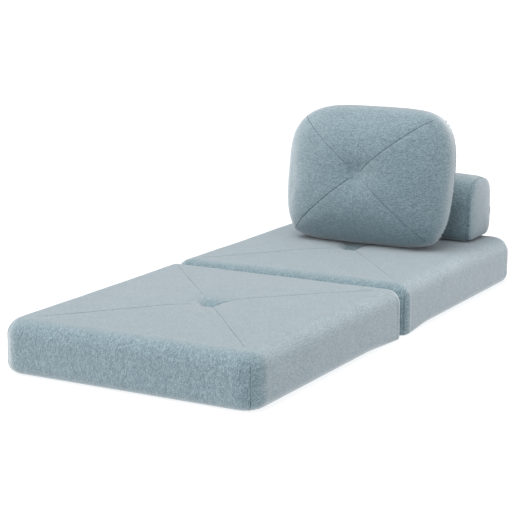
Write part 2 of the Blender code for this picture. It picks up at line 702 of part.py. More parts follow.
def main():
    clear_scene()
    group = new_collection("single_sofa_bed")
    tools_group = new_collection("cutters")
    finishes = {
        "fabric": finish("woven_fabric", FABRIC_COLOUR, 0.9),
        "gusset": finish("gusset_cloth", SHADOW_CLOTH_COLOUR, 0.9),
        "base": finish("base_cloth", BASE_CLOTH_COLOUR, 0.9),
        "foam": finish("firm_foam", FOAM_COLOUR, 0.95),
        "soft_foam": finish("soft_foam", SOFT_FOAM_COLOUR, 0.95),
        "cord": finish("tufting_cord", CORD_COLOUR, 0.8),
        "plastic": finish("black_plastic", PLASTIC_COLOUR, 0.5),
        "zip": finish("zip_tape", ZIP_COLOUR, 0.7),
        "zinc": finish("zinc", ZINC_COLOUR, 0.35, 1.0),
    }
    front, rear = Block("front", 1), Block("rear", -1)
    bolster = Bolster(rear)
    cushion = Cushion(rear, bolster)
    fold_axis = add_pivot("fold_axis", group, UP * FOLD_AXIS_HEIGHT)
    bolster_seat = add_pivot("bolster_seat", group, Vector((0, bolster.middle.x, bolster.floor)))
    cushion_seat = add_pivot("cushion_seat", group, cushion.place, bolster_seat)

    front_points = build_block(front, group, tools_group, finishes, fold_axis)
    rear_points = build_block(rear, group, tools_group, finishes, None)
    build_hinge_gusset(front, 1, group, finishes["gusset"], fold_axis)
    build_hinge_gusset(rear, -1, group, finishes["gusset"], None)
    bolster_points = build_bolster(bolster, group, tools_group, finishes, bolster_seat)
    cushion_points = build_cushion(cushion, group, tools_group, finishes, cushion_seat)

    plain_run = BLOCK_LENGTH - OUTER_CORNER_RADIUS - FLOOR_RADIUS_RUN
    front_zip_middle = Vector((0, front.end_y + OUTER_CORNER_RADIUS + plain_run / 2, 0))
    build_zip("front", front_points, front_zip_middle, REARWARD, (-RIGHT - UP).normalized(),
              plain_run - 2 * ZIP_END_MARGIN, group, tools_group, finishes, fold_axis)
    build_zip("rear", rear_points, Vector((0, rear.end_y, 0)), RIGHT, (REARWARD - UP).normalized(),
              BED_WIDTH - 2 * OUTER_CORNER_RADIUS - 2 * ZIP_END_MARGIN, group, tools_group,
              finishes, None)
    build_zip("bolster", bolster_points, Vector((0, bolster.middle.x, bolster.floor)), RIGHT,
              (REARWARD - UP).normalized(), BOLSTER_ZIP_LENGTH, group, tools_group, finishes,
              bolster_seat)
    tilt = CUSHION_ZIP_TILT
    build_zip("cushion", cushion_points, cushion.place, RIGHT,
              Vector((0, math.cos(tilt), -math.sin(tilt))), CUSHION_ZIP_LENGTH, group, tools_group,
              finishes, cushion_seat)


main()
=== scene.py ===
"""Looks of the single sofa bed: two tufted blocks, a bolster and a back cushion in one melange weave.

Metres, +Z up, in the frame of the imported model. Covers are fine meshes that follow the solids' own
forms, the back cushion's cloth is simulated, and threads, teeth and seams are modelled pieces.
"""
import itertools
import math

import bpy
import numpy as np
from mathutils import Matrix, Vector, noise
from mathutils.bvhtree import BVHTree


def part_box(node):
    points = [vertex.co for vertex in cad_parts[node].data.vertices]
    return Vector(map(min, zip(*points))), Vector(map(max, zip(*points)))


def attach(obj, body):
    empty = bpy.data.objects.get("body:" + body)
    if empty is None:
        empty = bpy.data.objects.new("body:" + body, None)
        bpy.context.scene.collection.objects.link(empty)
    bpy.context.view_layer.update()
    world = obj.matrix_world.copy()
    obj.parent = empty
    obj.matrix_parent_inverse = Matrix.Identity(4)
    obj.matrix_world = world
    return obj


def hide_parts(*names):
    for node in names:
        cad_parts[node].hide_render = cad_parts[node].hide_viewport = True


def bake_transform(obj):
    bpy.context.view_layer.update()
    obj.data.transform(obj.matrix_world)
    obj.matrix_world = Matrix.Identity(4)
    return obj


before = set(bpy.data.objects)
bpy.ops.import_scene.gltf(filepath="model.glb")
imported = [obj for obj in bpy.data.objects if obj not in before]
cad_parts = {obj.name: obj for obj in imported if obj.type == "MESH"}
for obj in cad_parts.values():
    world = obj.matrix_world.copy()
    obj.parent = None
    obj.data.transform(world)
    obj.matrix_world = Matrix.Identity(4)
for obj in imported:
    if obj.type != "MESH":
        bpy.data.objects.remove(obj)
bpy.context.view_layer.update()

# Camera, as the photograph's perspective gives it
CAMERA_PLACE = (2.636, -4.871, 1.397)
CAMERA_YAW = math.radians(29.373)
CAMERA_PITCH = math.radians(-11.955)
CAMERA_LENS = 115.86
CAMERA_SENSOR = 36.0

# Blocks
EDGE_HEIGHT = 0.170
CROWN_RISE = 0.006
OUTER_CORNER_RADIUS = 0.075
SEAM_CORNER_RADIUS = 0.042
LEAST_CORNER_RADIUS = 0.012
TOP_EDGE_RADIUS = 0.050
FLOOR_EDGE_RADIUS = 0.035
SEAM_FLOOR_RADIUS = 0.008
FLOOR_RADIUS_RUN = 0.250
SIDE_DRAW_IN = 0.002
BLOCK_TUFT_DEPTH = 0.025
BLOCK_TUFT_REACH = 0.029
BLOCK_TUFT_POWER = 1.5
BLOCK_TUFT_PINCH = 0.004
BLOCK_TUFT_HOLLOW = 0.006
BLOCK_PUFF = 0.0010
PINCH_REACH = 0.010
HOLLOW_REACH = 0.085
PLEATS = 12
PLEAT_DEPTH = 0.0003
TOP_RISE = 0.0006
TOP_ROW_POWER = 1.35
COVER_CLOTH = 0.0020
CLOTH_GAP = 0.0004

# Counts
COLUMN_SPACING = 0.008
TOP_ROWS = 60
EDGE_ROWS = 10
WALL_ROWS = 9
FLOOR_ROWS = 6
ARC_HALF_SHARES = (0.0, 0.08, 0.16, 0.24, 0.31, 0.37, 0.42, 0.455, 0.475, 0.488)


# Mesh building

def mesh_object(name, points, faces):
    mesh = bpy.data.meshes.new(name)
    mesh.from_pydata(np.asarray(points, float).reshape(-1, 3).tolist(), [], faces)
    mesh.update()
    mesh.shade_smooth()
    made = bpy.data.objects.new(name, mesh)
    bpy.context.scene.collection.objects.link(made)
    return made


def ring_faces(rows, columns, closed=True, start=0):
    """Quads of a net of rows by columns; the columns join up where it is closed."""
    index = start + np.arange(rows * columns).reshape(rows, columns)
    if closed:
        index = np.concatenate([index, index[:, :1]], axis=1)
    corners = [index[:-1, :-1], index[1:, :-1], index[1:, 1:], index[:-1, 1:]]
    return np.stack(corners, axis=-1).reshape(-1, 4).tolist()


def ring_object(name, rings, first=None, last=None, closed=True):
    """A net through rings of points, closed at either end by a single point."""
    rows, columns = rings.shape[:2]
    points = rings.reshape(-1, 3).tolist()
    faces = ring_faces(rows, columns, closed)
    if first is not None:
        tip = len(points)
        points.append(list(first))
        faces += [(tip, c, (c + 1) % columns) for c in range(columns)]
    if last is not None:
        tip = len(points)
        base = (rows - 1) * columns
        points.append(list(last))
        faces += [(tip, base + (c + 1) % columns, base + c) for c in range(columns)]
    return mesh_object(name, points, faces)


def joined(*columns):
    """Columns side by side, where a single number fills its whole column."""
    count = max(len(column) for column in columns if np.ndim(column))
    return np.column_stack([column if np.ndim(column) else np.full(count, column) for column in columns])


def bell(distance, width):
    """1 at no distance, falling off smoothly over the width."""
    return np.exp(-(distance / width) ** 2)


def tube_faces(rows, sides, start=0):
    """Faces of a tube with flat ends."""
    last = start + (rows - 1) * sides
    ends = [[start + k for k in range(sides)], [last + k for k in range(sides)][::-1]]
    return ring_faces(rows, sides, True, start) + ends


def way_along(line):
    """How far along a line each of its points lies."""
    return np.concatenate([[0], np.cumsum(np.linalg.norm(np.diff(line, axis=0), axis=1))])


def turned(faces):
    """The same faces looking the other way."""
    return [tuple(face)[::-1] for face in faces]


def set_weave(piece, weave):
    """Stores each point's place in the cloth, across and along the yarn, in metres."""
    layer = piece.data.attributes.new("weave", "FLOAT_VECTOR", "POINT")
    layer.data.foreach_set("vector", np.asarray(weave, np.float32).ravel())


def give_thickness(piece, thickness):
    shell = piece.modifiers.new("cloth", "SOLIDIFY")
    shell.thickness = thickness
    shell.offset = -1


def dress(piece, body, material, nodes=()):
    """Material, body and the CAD nodes that a piece stands for."""
    piece.data.materials.clear()
    piece.data.materials.append(material)
    if body is not None:
        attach(piece, body)
    if nodes:
        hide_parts(*nodes)
    return piece


def smooth_noise(points, wavelength, seed):
    """Gentle noise from -1 to 1 at each point."""
    scaled = np.asarray(points).reshape(-1, 3) / wavelength + seed
    return np.array([noise.noise(Vector(p)) for p in scaled]).reshape(np.shape(points)[:-1])


def normals_of(rings):
    """Outward directions of a closed ring net, by its neighbours' differences."""
    along = np.gradient(rings, axis=0)
    around = np.roll(rings, -1, axis=1) - np.roll(rings, 1, axis=1)
    facing = np.cross(along, around)
    return facing / np.maximum(np.linalg.norm(facing, axis=-1, keepdims=True), 1e-12)


# Materials

class Finish:
    """A node material that is built up by name."""

    def __init__(self, name, colour, roughness):
        self.material = bpy.data.materials.new(name)
        self.material.use_nodes = True
        self.tree = self.material.node_tree
        self.shader = self.tree.nodes["Principled BSDF"]
        self.set("Base Color", (*colour, 1))
        self.set("Roughness", roughness)

    def set(self, socket, value):
        self.join(self.shader.inputs[socket], value)

    def join(self, socket, value):
        if isinstance(value, bpy.types.NodeSocket):
            self.tree.links.new(value, socket)
        else:
            socket.default_value = value

    def add(self, kind, inputs, **settings):
        node = self.tree.nodes.new(kind)
        for key, value in settings.items():
            setattr(node, key, value)
        for socket, value in inputs.items():
            self.join(node.inputs[socket], value)
        return node

    def maths(self, operation, first, second=0.0):
        return self.add("ShaderNodeMath", {0: first, 1: second}, operation=operation).outputs[0]

    def scaled(self, vector, scale):
        node = self.add("ShaderNodeVectorMath", {0: vector, 1: scale}, operation="MULTIPLY")
        return node.outputs[0]

    def noise(self, vector, detail=2.0, roughness=0.5):
        inputs = {"Vector": vector, "Scale": 1.0, "Detail": detail, "Roughness": roughness}
        return self.add("ShaderNodeTexNoise", inputs).outputs["Fac"]

    def ramp(self, value, stops):
        node = self.add("ShaderNodeValToRGB", {"Fac": value})
        elements = node.color_ramp.elements
        while len(elements) < len(stops):
            elements.new(0.5)
        for element, (place, colour) in zip(elements, stops):
            element.position = place
            element.color = (*colour, 1)
        return node.outputs["Color"]

    def mix(self, kind, share, first, second):
        node = self.add("ShaderNodeMix", {}, data_type="RGBA", blend_type=kind)
        self.join(node.inputs["Factor"], share)
        self.join(node.inputs["A"], first)
        self.join(node.inputs["B"], second)
        return node.outputs["Result"]

    def bump(self, height, distance, strength=1.0):
        inputs = {"Height": height, "Distance": distance, "Strength": strength}
        self.set("Normal", self.add("ShaderNodeBump", inputs).outputs["Normal"])

    def place(self):
        return self.add("ShaderNodeTexCoord", {}).outputs["Object"]


RIB_PITCH = 0.0034
FLOAT_CELL = (0.0021, 0.0080)
GRAIN_CELL = (0.0017, 0.0021)
MELANGE_CELL = (0.0120, 0.0300)
YARN_DARK = (0.090, 0.150, 0.178)
YARN_MIDDLE = (0.160, 0.238, 0.272)
YARN_LIGHT = (0.268, 0.358, 0.396)


def upholstery_finish():
    """Melange rep weave: ribs of slubby two-tone yarn, with a faint fuzz."""
    finish = Finish("melange_weave", YARN_MIDDLE, 0.92)
    cloth = finish.add("ShaderNodeAttribute", {}, attribute_name="weave").outputs["Vector"]

    split = finish.add("ShaderNodeSeparateXYZ", {0: cloth}).outputs

    def cells(size, detail):
        place = finish.scaled(cloth, (1 / size[0], 1 / size[1], 1.0))
        return finish.noise(place, detail=detail, roughness=0.7)

    def scattered(x, y):
        spot = finish.add("ShaderNodeCombineXYZ", {0: x, 1: y, 2: split["Z"]}).outputs[0]
        return finish.add("ShaderNodeTexWhiteNoise", {"Vector": spot}, noise_dimensions="3D").outputs["Value"]

    def yarns(size):
        """One tone for each float of yarn; neighbouring yarns' floats are staggered."""
        lane = finish.maths("FLOOR", finish.maths("DIVIDE", split["X"], size[0]))
        along = finish.maths("ADD", finish.maths("DIVIDE", split["Y"], size[1]), scattered(lane, 0.0))
        return scattered(lane, finish.maths("FLOOR", along))

    def total(*shares):
        value = 0.0
        for amount, part in shares:
            value = finish.maths("ADD", finish.maths("MULTIPLY", part, amount), value)
        return value

    melange = cells(MELANGE_CELL, 1.0)
    cloud = cells((0.110, 0.160), 2.0)
    tone = total((0.38, yarns(FLOAT_CELL)), (0.55, yarns(GRAIN_CELL)), (0.07, melange))
    colour = finish.ramp(tone, ((0.22, YARN_DARK), (0.50, YARN_MIDDLE), (0.78, YARN_LIGHT)))
    soft = finish.ramp(cloud, ((0.30, (0.93, 0.94, 0.95)), (0.70, (1.0, 1.0, 1.0))))
    finish.set("Base Color", finish.mix("MULTIPLY", 1.0, colour, soft))

    turn = finish.maths("MULTIPLY", split["X"], math.tau / RIB_PITCH)
    rib = finish.maths("SINE", total((1.0, turn), (7.0, cloud)))
    finish.bump(total((0.25, rib), (1.0, cells((0.0018, 0.0050), 1.0))), 0.00010, 0.35)
    finish.set("Sheen Weight", 1.0)
    finish.set("Sheen Roughness", 0.55)
    finish.set("Sheen Tint", (0.95, 0.97, 1.0, 1))
    finish.set("Specular IOR Level", 0.2)
    return finish.material


def plain_cloth_finish(name, dark, light, pitch):
    """A tight plain weave of fine thread, crossed both ways."""
    finish = Finish(name, light, 0.85)
    place = finish.place()
    fine = finish.noise(finish.scaled(place, (1 / pitch,) * 3), detail=2.0)
    broad = finish.noise(finish.scaled(place, (14.0,) * 3), detail=2.0)
    tone = finish.maths("ADD", finish.maths("MULTIPLY", fine, 0.7), finish.maths("MULTIPLY", broad, 0.3))
    finish.set("Base Color", finish.ramp(tone, ((0.38, dark), (0.62, light))))
    finish.bump(fine, pitch, 0.6)
    return finish.material


def foam_finish(name, dark, light, cell):
    """Open-cell foam or fibre with small pores."""
    finish = Finish(name, light, 0.95)
    place = finish.place()
    pores = finish.add("ShaderNodeTexVoronoi", {"Vector": place, "Scale": 1 / cell}).outputs["Distance"]
    broad = finish.noise(finish.scaled(place, (8.0,) * 3), detail=3.0)
    tone = finish.maths("ADD", finish.maths("MULTIPLY", pores, 0.5), finish.maths("MULTIPLY", broad, 0.5))
    finish.set("Base Color", finish.ramp(tone, ((0.25, dark), (0.60, light))))
    finish.bump(pores, cell / 2, 0.5)
    return finish.material


def thread_finish(name, colour):
    finish = Finish(name, colour, 0.7)
    place = finish.place()
    twist = finish.noise(finish.scaled(place, (1400.0,) * 3), detail=1.0)
    shade = finish.ramp(twist, ((0.35, tuple(0.75 * c for c in colour)), (0.65, colour)))
    finish.set("Base Color", shade)
    finish.bump(twist, 0.0003, 0.5)
    return finish.material


def moulded_finish(name, colour, roughness, metallic=0.0):
    """Moulded plastic or cast zinc with a faint skin texture and uneven gloss."""
    finish = Finish(name, colour, roughness)
    finish.set("Metallic", metallic)
    skin = finish.noise(finish.scaled(finish.place(), (900.0,) * 3), detail=2.0)
    gloss = finish.add("ShaderNodeMapRange", {"Value": skin, "To Min": roughness - 0.08,
                                              "To Max": roughness + 0.12}).outputs["Result"]
    finish.set("Roughness", gloss)
    finish.bump(skin, 0.0001, 0.4)
    return finish.material


FABRIC = upholstery_finish()
# Dark seam thread: its darkness is partly the thread's own colour and partly painted shade of the sewn
# creases, most of all on the cushion's X.
DARK_THREAD_AND_CREASE_SHADE = thread_finish("seam_thread_and_crease_shade", (0.045, 0.080, 0.095))
PALE_THREAD = thread_finish("top_thread", (0.110, 0.170, 0.195))
TAB_CLOTH = plain_cloth_finish("label_cloth", (0.030, 0.075, 0.085), (0.055, 0.120, 0.135), 0.0006)
GUSSET_CLOTH = plain_cloth_finish("gusset_cloth", (0.10, 0.15, 0.17), (0.17, 0.23, 0.25), 0.0010)
BASE_CLOTH = plain_cloth_finish("base_cloth", (0.055, 0.065, 0.070), (0.095, 0.110, 0.115), 0.0009)
ZIP_CLOTH = plain_cloth_finish("zip_cloth", (0.12, 0.17, 0.19), (0.20, 0.27, 0.29), 0.0005)
FIRM_FOAM = foam_finish("firm_foam", (0.62, 0.55, 0.36), (0.80, 0.74, 0.52), 0.0022)
SOFT_FILL = foam_finish("soft_fill", (0.66, 0.68, 0.72), (0.84, 0.86, 0.89), 0.0040)
CORD = thread_finish("tufting_cord", (0.60, 0.60, 0.55))
ANCHOR = moulded_finish("anchor_plastic", (0.03, 0.03, 0.032), 0.45)
ZINC = moulded_finish("slider_zinc", (0.55, 0.55, 0.56), 0.35, 1.0)


# Stitches

STITCH_LENGTH = 0.0062
STITCH_GAP = 0.0022
THREAD_RADIUS = 0.0005
STITCH_RINGS = ((0.0, 0.35, -0.8), (0.18, 0.9, 0.25), (0.5, 1.0, 0.7), (0.82, 0.9, 0.25), (1.0, 0.35, -0.8))
STITCH_SIDES = 6


def resample(line, spacing):
    """Points at an even spacing along a line."""
    line = np.asarray(line, float)
    walked = way_along(line)
    count = max(2, int(walked[-1] / spacing) + 1)
    places = np.linspace(0, walked[-1], count)
    return np.stack([np.interp(places, walked, line[:, k]) for k in range(line.shape[1])], axis=1)


def stitch_run(name, runs, radius=THREAD_RADIUS, gap=STITCH_GAP):
    """Rows of thread stitches along lines; each line comes with its surface's outward directions."""
    points, faces = [], []
    angles = np.arange(STITCH_SIDES) / STITCH_SIDES * math.tau
    for line, facing in runs:
        both = resample(np.hstack([line, facing]), STITCH_LENGTH / 4)
        pitch = STITCH_LENGTH + gap
        travelled = np.arange(len(both)) * STITCH_LENGTH / 4
        for begin in np.arange(0, travelled[-1] - STITCH_LENGTH, pitch):
            start = len(points)
            for share, wide, lift in STITCH_RINGS:
                at = begin + share * STITCH_LENGTH
                here = np.array([np.interp(at, travelled, both[:, k]) for k in range(6)])
                ahead = np.array([np.interp(at + STITCH_LENGTH / 4, travelled, both[:, k]) for k in range(3)])
                along = ahead - here[:3]
                along /= max(np.linalg.norm(along), 1e-9)
                out = here[3:] / np.linalg.norm(here[3:])
                side = np.cross(out, along)
                side /= max(np.linalg.norm(side), 1e-9)
                centre = here[:3] + out * radius * lift
                for angle in angles:
                    points.append(centre + radius * wide * (side * math.cos(angle) + out * math.sin(angle)))
            faces += tube_faces(len(STITCH_RINGS), STITCH_SIDES, start)
    return mesh_object(name, points, turned(faces))


# Loops round a box

class Loop:
    """Columns round a box with rounded corners, closest together at each corner's middle."""

    def __init__(self, low, high, radii):
        self.low, self.high, self.radii = low, high, radii
        half = list(ARC_HALF_SHARES)
        self.arc = np.array(half + [0.5] + [1 - share for share in half[::-1]])
        self.middle_index = len(half)
        width, length = high[0] - low[0], high[1] - low[1]
        self.side_counts = [int(size / COLUMN_SPACING) for size in (length, width, length, width)]
        self.corner_starts = []
        self.corner_share, self.corner = [], []
        for turn in range(4):
            self.corner_starts.append(len(self.corner))
            self.corner_share += list(self.arc) + [np.nan] * self.side_counts[turn]
            self.corner += [turn] * len(self.arc) + [-1] * self.side_counts[turn]
        self.corner, self.corner_share = np.array(self.corner), np.array(self.corner_share)
        self.columns = len(self.corner)

    def at(self, inset=0.0, draw_in=0.0):
        """Points and outward directions of the loop, moved in by the inset."""
        left, right = self.low[0] + inset, self.high[0] - inset
        near, far = self.low[1] + inset, self.high[1] - inset
        spots = ((right, near, -1, 1), (right, far, -1, -1), (left, far, 1, -1), (left, near, 1, 1))
        arcs = []
        for turn, ((x, y, to_x, to_y), radius) in enumerate(zip(spots, self.radii)):
            bend = max(radius - inset, LEAST_CORNER_RADIUS)
            angle = (turn - 1 + self.arc) * math.pi / 2
            outward = np.stack([np.cos(angle), np.sin(angle)], axis=1)
            arcs.append((np.array([x + to_x * bend, y + to_y * bend]) + outward * bend, outward))
        points, facing = [], []
        for turn, (arc, outward) in enumerate(arcs):
            following = arcs[(turn + 1) % 4][0][0]
            share = (np.arange(self.side_counts[turn]) + 1)[:, None] / (self.side_counts[turn] + 1)
            pull = draw_in * np.sin(math.pi * share)
            side = arc[-1] + (following - arc[-1]) * share - outward[-1] * pull
            points += [arc, side]
            facing += [outward, np.repeat(outward[-1:], self.side_counts[turn], axis=0)]
        return np.concatenate(points), np.concatenate(facing)

    def spread(self, inset, inner_inset):
        """How much further along its side each corner column lies than on the inner loop."""
        moves = np.zeros((self.columns, 2))
        for turn, (start, radius) in enumerate(zip(self.corner_starts, self.radii)):
            bend = max(radius - inset, LEAST_CORNER_RADIUS)
            inner_bend = max(radius - inner_inset, LEAST_CORNER_RADIUS)
            before = self.arc < 0.5
            angle = np.where(before, self.arc, 1 - self.arc) * math.pi / 2
            further = angle * bend - np.sin(angle) * inner_bend
            heading = turn * math.pi / 2 + np.where(before, 0.0, math.pi / 2)
            sign = np.where(before, 1.0, -1.0)
            move = np.stack([np.cos(heading), np.sin(heading)], axis=1) * (sign * further)[:, None]
            moves[start:start + len(self.arc)] = move
        return moves


# Blocks

ARM_START_SHARE = 0.045
ARM_END_SHARE = 0.97
CORNER_STITCH_AWAY = 0.0062
CORNER_GROOVE = 0.0016
CORNER_GROOVE_WIDTH = 0.0024
WELT_RISE = 0.0013
WELT_WIDTH = 0.0085
WELT_SLOPE = 0.002


class Block:
    """One tufted foam block in its cover."""

    def __init__(self, name, seam_side, welt_turns):
        low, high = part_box(f"{name}_cover")
        self.name, self.seam_side, self.welt_turns = name, seam_side, welt_turns
        self.low, self.high = np.array(low), np.array(high)
        self.middle = (self.low + self.high)[:2] / 2
        self.seam_y = high.y if seam_side > 0 else low.y
        outer, seam = OUTER_CORNER_RADIUS, SEAM_CORNER_RADIUS
        radii = (outer, seam, seam, outer) if seam_side > 0 else (seam, outer, outer, seam)
        self.loop = Loop(self.low, self.high, radii)
        self.inner, self.inner_facing = self.loop.at(TOP_EDGE_RADIUS)
        starts = self.loop.corner_starts
        self.arm_columns = [start + self.loop.middle_index for start in starts]
        self.arm_ends = self.inner[self.arm_columns]

    def rest_height(self, x, y):
        """Height of the crowned top without tuft and seams."""
        half = self.high[:2] - self.middle - TOP_EDGE_RADIUS
        across = np.minimum(1, np.abs(x - self.middle[0]) / half[0])
        along = np.minimum(1, np.abs(y - self.middle[1]) / half[1])
        return EDGE_HEIGHT + CROWN_RISE * (1 - across ** 2) * (1 - along ** 2)

    def arm_distance(self, x, y):
        """Distance from the nearest sewn arm, and how far along it, from 0 at the tuft to 1."""
        spot = np.stack([x, y], axis=-1) - self.middle
        best = np.full(np.shape(x), 1.0)
        best_share = np.zeros(np.shape(x))
        for end in self.arm_ends:
            arm = end - self.middle
            length = np.linalg.norm(arm)
            arm = arm / length
            share = spot @ arm / length
            away = np.abs(spot[..., 0] * arm[1] - spot[..., 1] * arm[0])
            better = (share > 0) & (away < best)
            best = np.where(better, away, best)
            best_share = np.where(better, share, best_share)
        return best, best_share

    def top_height(self, x, y):
        """Height of the cover's top: crown, tuft with its pleats, and the valleys of the sewn arms."""
        dx, dy = x - self.middle[0], y - self.middle[1]
        radius = np.hypot(dx, dy)
        angle = np.arctan2(dy, dx)
        dimple = BLOCK_TUFT_DEPTH * np.exp(-(radius / BLOCK_TUFT_REACH) ** BLOCK_TUFT_POWER)
        dimple += BLOCK_TUFT_PINCH * np.exp(-radius / PINCH_REACH)
        dimple += BLOCK_TUFT_HOLLOW * bell(radius, HOLLOW_REACH)
        pleats = PLEAT_DEPTH * np.cos(PLEATS * angle + 0.6) * bell(radius - 0.022, 0.018)
        away, share = self.arm_distance(x, y)
        fade = np.clip(share * 14, 0, 1) * np.clip((ARM_END_SHARE - share) * 14, 0, 1)
        valley = (0.0005 * bell(away, 0.011) + 0.0008 * bell(away, 0.0020)) * fade
        valley += 0.0014 * bell(away, 0.006) * bell(radius - 0.040, 0.030)
        between = np.clip(away / (0.6 * radius + 1e-6), 0, 1) ** 0.7
        puff = BLOCK_PUFF * between * bell(radius - 0.055, 0.045)
        return self.rest_height(x, y) + TOP_RISE - dimple - pleats - valley + puff

    def floor_radius(self, y):
        share = np.minimum(1, np.abs(y - self.seam_y) / FLOOR_RADIUS_RUN)
        eased = share * share * (3 - 2 * share)
        return SEAM_FLOOR_RADIUS + (FLOOR_EDGE_RADIUS - SEAM_FLOOR_RADIUS) * eased

    def corner_offset(self):
        """Signed distance of each column from its corner's seam, on the welt's side above zero."""
        radii = np.array(self.loop.radii)[np.maximum(self.loop.corner, 0)]
        offset = (np.nan_to_num(self.loop.corner_share, nan=9.0) - 0.5) * math.pi / 2 * radii
        turns = np.array(self.welt_turns)[np.maximum(self.loop.corner, 0)]
        return offset * turns

    def net(self):
        """Rings of the cover from the tuft to the floor, and each point's place in the cloth."""
        rings, weave = [], []
        shares = (np.arange(1, TOP_ROWS + 1) / TOP_ROWS) ** TOP_ROW_POWER
        for share in shares:
            spot = self.middle + (self.inner - self.middle) * share
            rings.append(np.column_stack([spot, self.top_height(spot[:, 0], spot[:, 1])]))
            weave.append(joined(spot, 0.0))
        snapped = np.where(np.abs(self.inner_facing) >= np.abs(self.inner_facing).max(axis=1, keepdims=True),
                           np.sign(self.inner_facing), 0.0)
        outline, facing = self.loop.at(0.0)
        floor_radius = self.floor_radius(outline[:, 1])
        seam = self.corner_offset()

        def add(spot, height, run, seam_share, inset=0.0):
            away = np.abs(seam)
            groove = CORNER_GROOVE * bell(away, CORNER_GROOVE_WIDTH)
            welt = WELT_RISE * (seam > 0) * np.clip((WELT_WIDTH - away) / WELT_SLOPE, 0, 1)
            welt = welt * np.clip(away / WELT_SLOPE, 0, 1)
            puff = 0.0016 * bell(away - 0.030, 0.024)
            pucker = 0.0005 * bell(away, 0.016) * np.sin(height / 0.0075 * math.pi)
            change = (welt - groove + puff + pucker) * seam_share
            rings.append(np.column_stack([spot + facing * change[:, None], height]))
            cloth = self.inner + self.loop.spread(inset, TOP_EDGE_RADIUS) + snapped * run[:, None]
            weave.append(joined(cloth, 0.0))

        for step in range(1, EDGE_ROWS + 1):
            angle = step / EDGE_ROWS * math.pi / 2
            height = EDGE_HEIGHT - TOP_EDGE_RADIUS * (1 - math.cos(angle))
            draw_in = SIDE_DRAW_IN * (height / EDGE_HEIGHT) ** 2
            spot, _ = self.loop.at(TOP_EDGE_RADIUS * (1 - math.sin(angle)), draw_in)
            run = np.full(len(spot), TOP_EDGE_RADIUS * angle)
            eased = np.clip((step / EDGE_ROWS - 0.35) / 0.5, 0, 1)
            inset = TOP_EDGE_RADIUS * (1 - math.sin(angle))
            add(spot, np.full(len(spot), height), run, np.full(len(spot), eased), inset)
        wall_top = EDGE_HEIGHT - TOP_EDGE_RADIUS
        quarter = TOP_EDGE_RADIUS * math.pi / 2
        for step in range(1, WALL_ROWS + 1):
            height = wall_top + (floor_radius - wall_top) * step / WALL_ROWS
            spot, _ = self.loop.at(0.0)
            pull = SIDE_DRAW_IN * (height / EDGE_HEIGHT) ** 2
            drawn, _ = self.loop.at(0.0, 1.0)
            spot = spot + (drawn - spot) * pull[:, None]
            add(spot, height, quarter + wall_top - height, np.ones(len(spot)))
        wall_run = quarter + wall_top - floor_radius
        for step in range(1, FLOOR_ROWS + 1):
            angle = step / FLOOR_ROWS * math.pi / 2
            spot = outline - facing * (floor_radius * (1 - math.cos(angle)))[:, None]
            height = floor_radius * (1 - math.sin(angle))
            add(spot, height, wall_run + floor_radius * angle, np.full(len(spot), 1 - step / FLOOR_ROWS))
        rings, weave = np.array(rings), np.array(weave)

        facing = normals_of(rings)
        broad = 0.0011 * smooth_noise(rings, 0.16, 3.1 * self.seam_side + 20)
        small = 0.0004 * smooth_noise(rings, 0.045, 7.7)
        keep = np.clip(rings[..., 2] / 0.03, 0, 1)
        rings = rings + facing * ((broad + small) * keep)[..., None]
        return rings, weave


COMFORT_GAP = 0.0026
COMFORT_FLOOR = 0.1103
COMFORT_MIDDLE = 0.0030
COMFORT_TUFT_SPARE = 0.005


def build_comfort_layer(block, rings, tip):
    """The softer foam right under the cover, from the firm core up to the crowned top."""
    facing = normals_of(rings)
    radius = np.hypot(*(rings[..., :2] - block.middle).transpose(2, 0, 1))
    spare = COMFORT_GAP + COMFORT_TUFT_SPARE * bell(radius, 0.100)
    upright = np.clip(1.6 - radius / 0.120, 0, 1)[..., None]
    inner = rings - (facing * (1 - upright) + np.array([0, 0, 1]) * upright) * spare[..., None]
    inner = inner[:TOP_ROWS + EDGE_ROWS + WALL_ROWS // 2]
    inner = inner[inner[:, :, 2].min(axis=1) > COMFORT_FLOOR + 0.004]
    wall = inner[-1].copy()
    wall[:, 2] = COMFORT_FLOOR
    below = [block_ring(block, wall, share) for share in (0.97, 0.8, 0.6, 0.4, 0.2)]
    bottom = block_ring(block, wall, COMFORT_MIDDLE / 0.45)
    solid = np.concatenate([inner, [wall], below, [bottom]])
    first = np.array(tip) - (0, 0, COMFORT_GAP + COMFORT_TUFT_SPARE)
    layer = ring_object(f"{block.name}_block_comfort_layer", solid, first=first,
                        last=[*block.middle, COMFORT_FLOOR])
    dress(layer, f"{block.name}_block", SOFT_FILL, [f"{block.name}_comfort_layer"])


def block_ring(block, wall, share):
    """The wall's ring, drawn in to a share of its size."""
    ring = wall.copy()
    ring[:, :2] = block.middle + (wall[:, :2] - block.middle) * share
    return ring


CORD_STRANDS = 3
CORD_TWIST = 0.012
CORD_STRAND_RADIUS = 0.0006
CORD_SIDES = 6


def build_tuft_cord(name, body, tip):
    """The laid cord that pulls a block's tuft down to the disc at its base."""
    low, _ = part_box(f"{name}_tuft_cord")
    heights = np.arange(low.z, tip[2] - COMFORT_GAP, 0.0012)
    points, faces = [], []
    for strand in range(CORD_STRANDS):
        start = len(points)
        for z in heights:
            turn = z / CORD_TWIST * math.tau + strand * math.tau / CORD_STRANDS
            centre = np.array([tip[0] + CORD_STRAND_RADIUS * math.cos(turn),
                               tip[1] + CORD_STRAND_RADIUS * math.sin(turn), z])
            for side in np.arange(CORD_SIDES) / CORD_SIDES * math.tau:
                points.append(centre + CORD_STRAND_RADIUS * np.array([math.cos(side), math.sin(side), 0]))
        faces += tube_faces(len(heights), CORD_SIDES, start)
    cord = mesh_object(f"{name}_block_tuft_cord", points, turned(faces))
    dress(cord, body, CORD, [f"{name}_tuft_cord"])


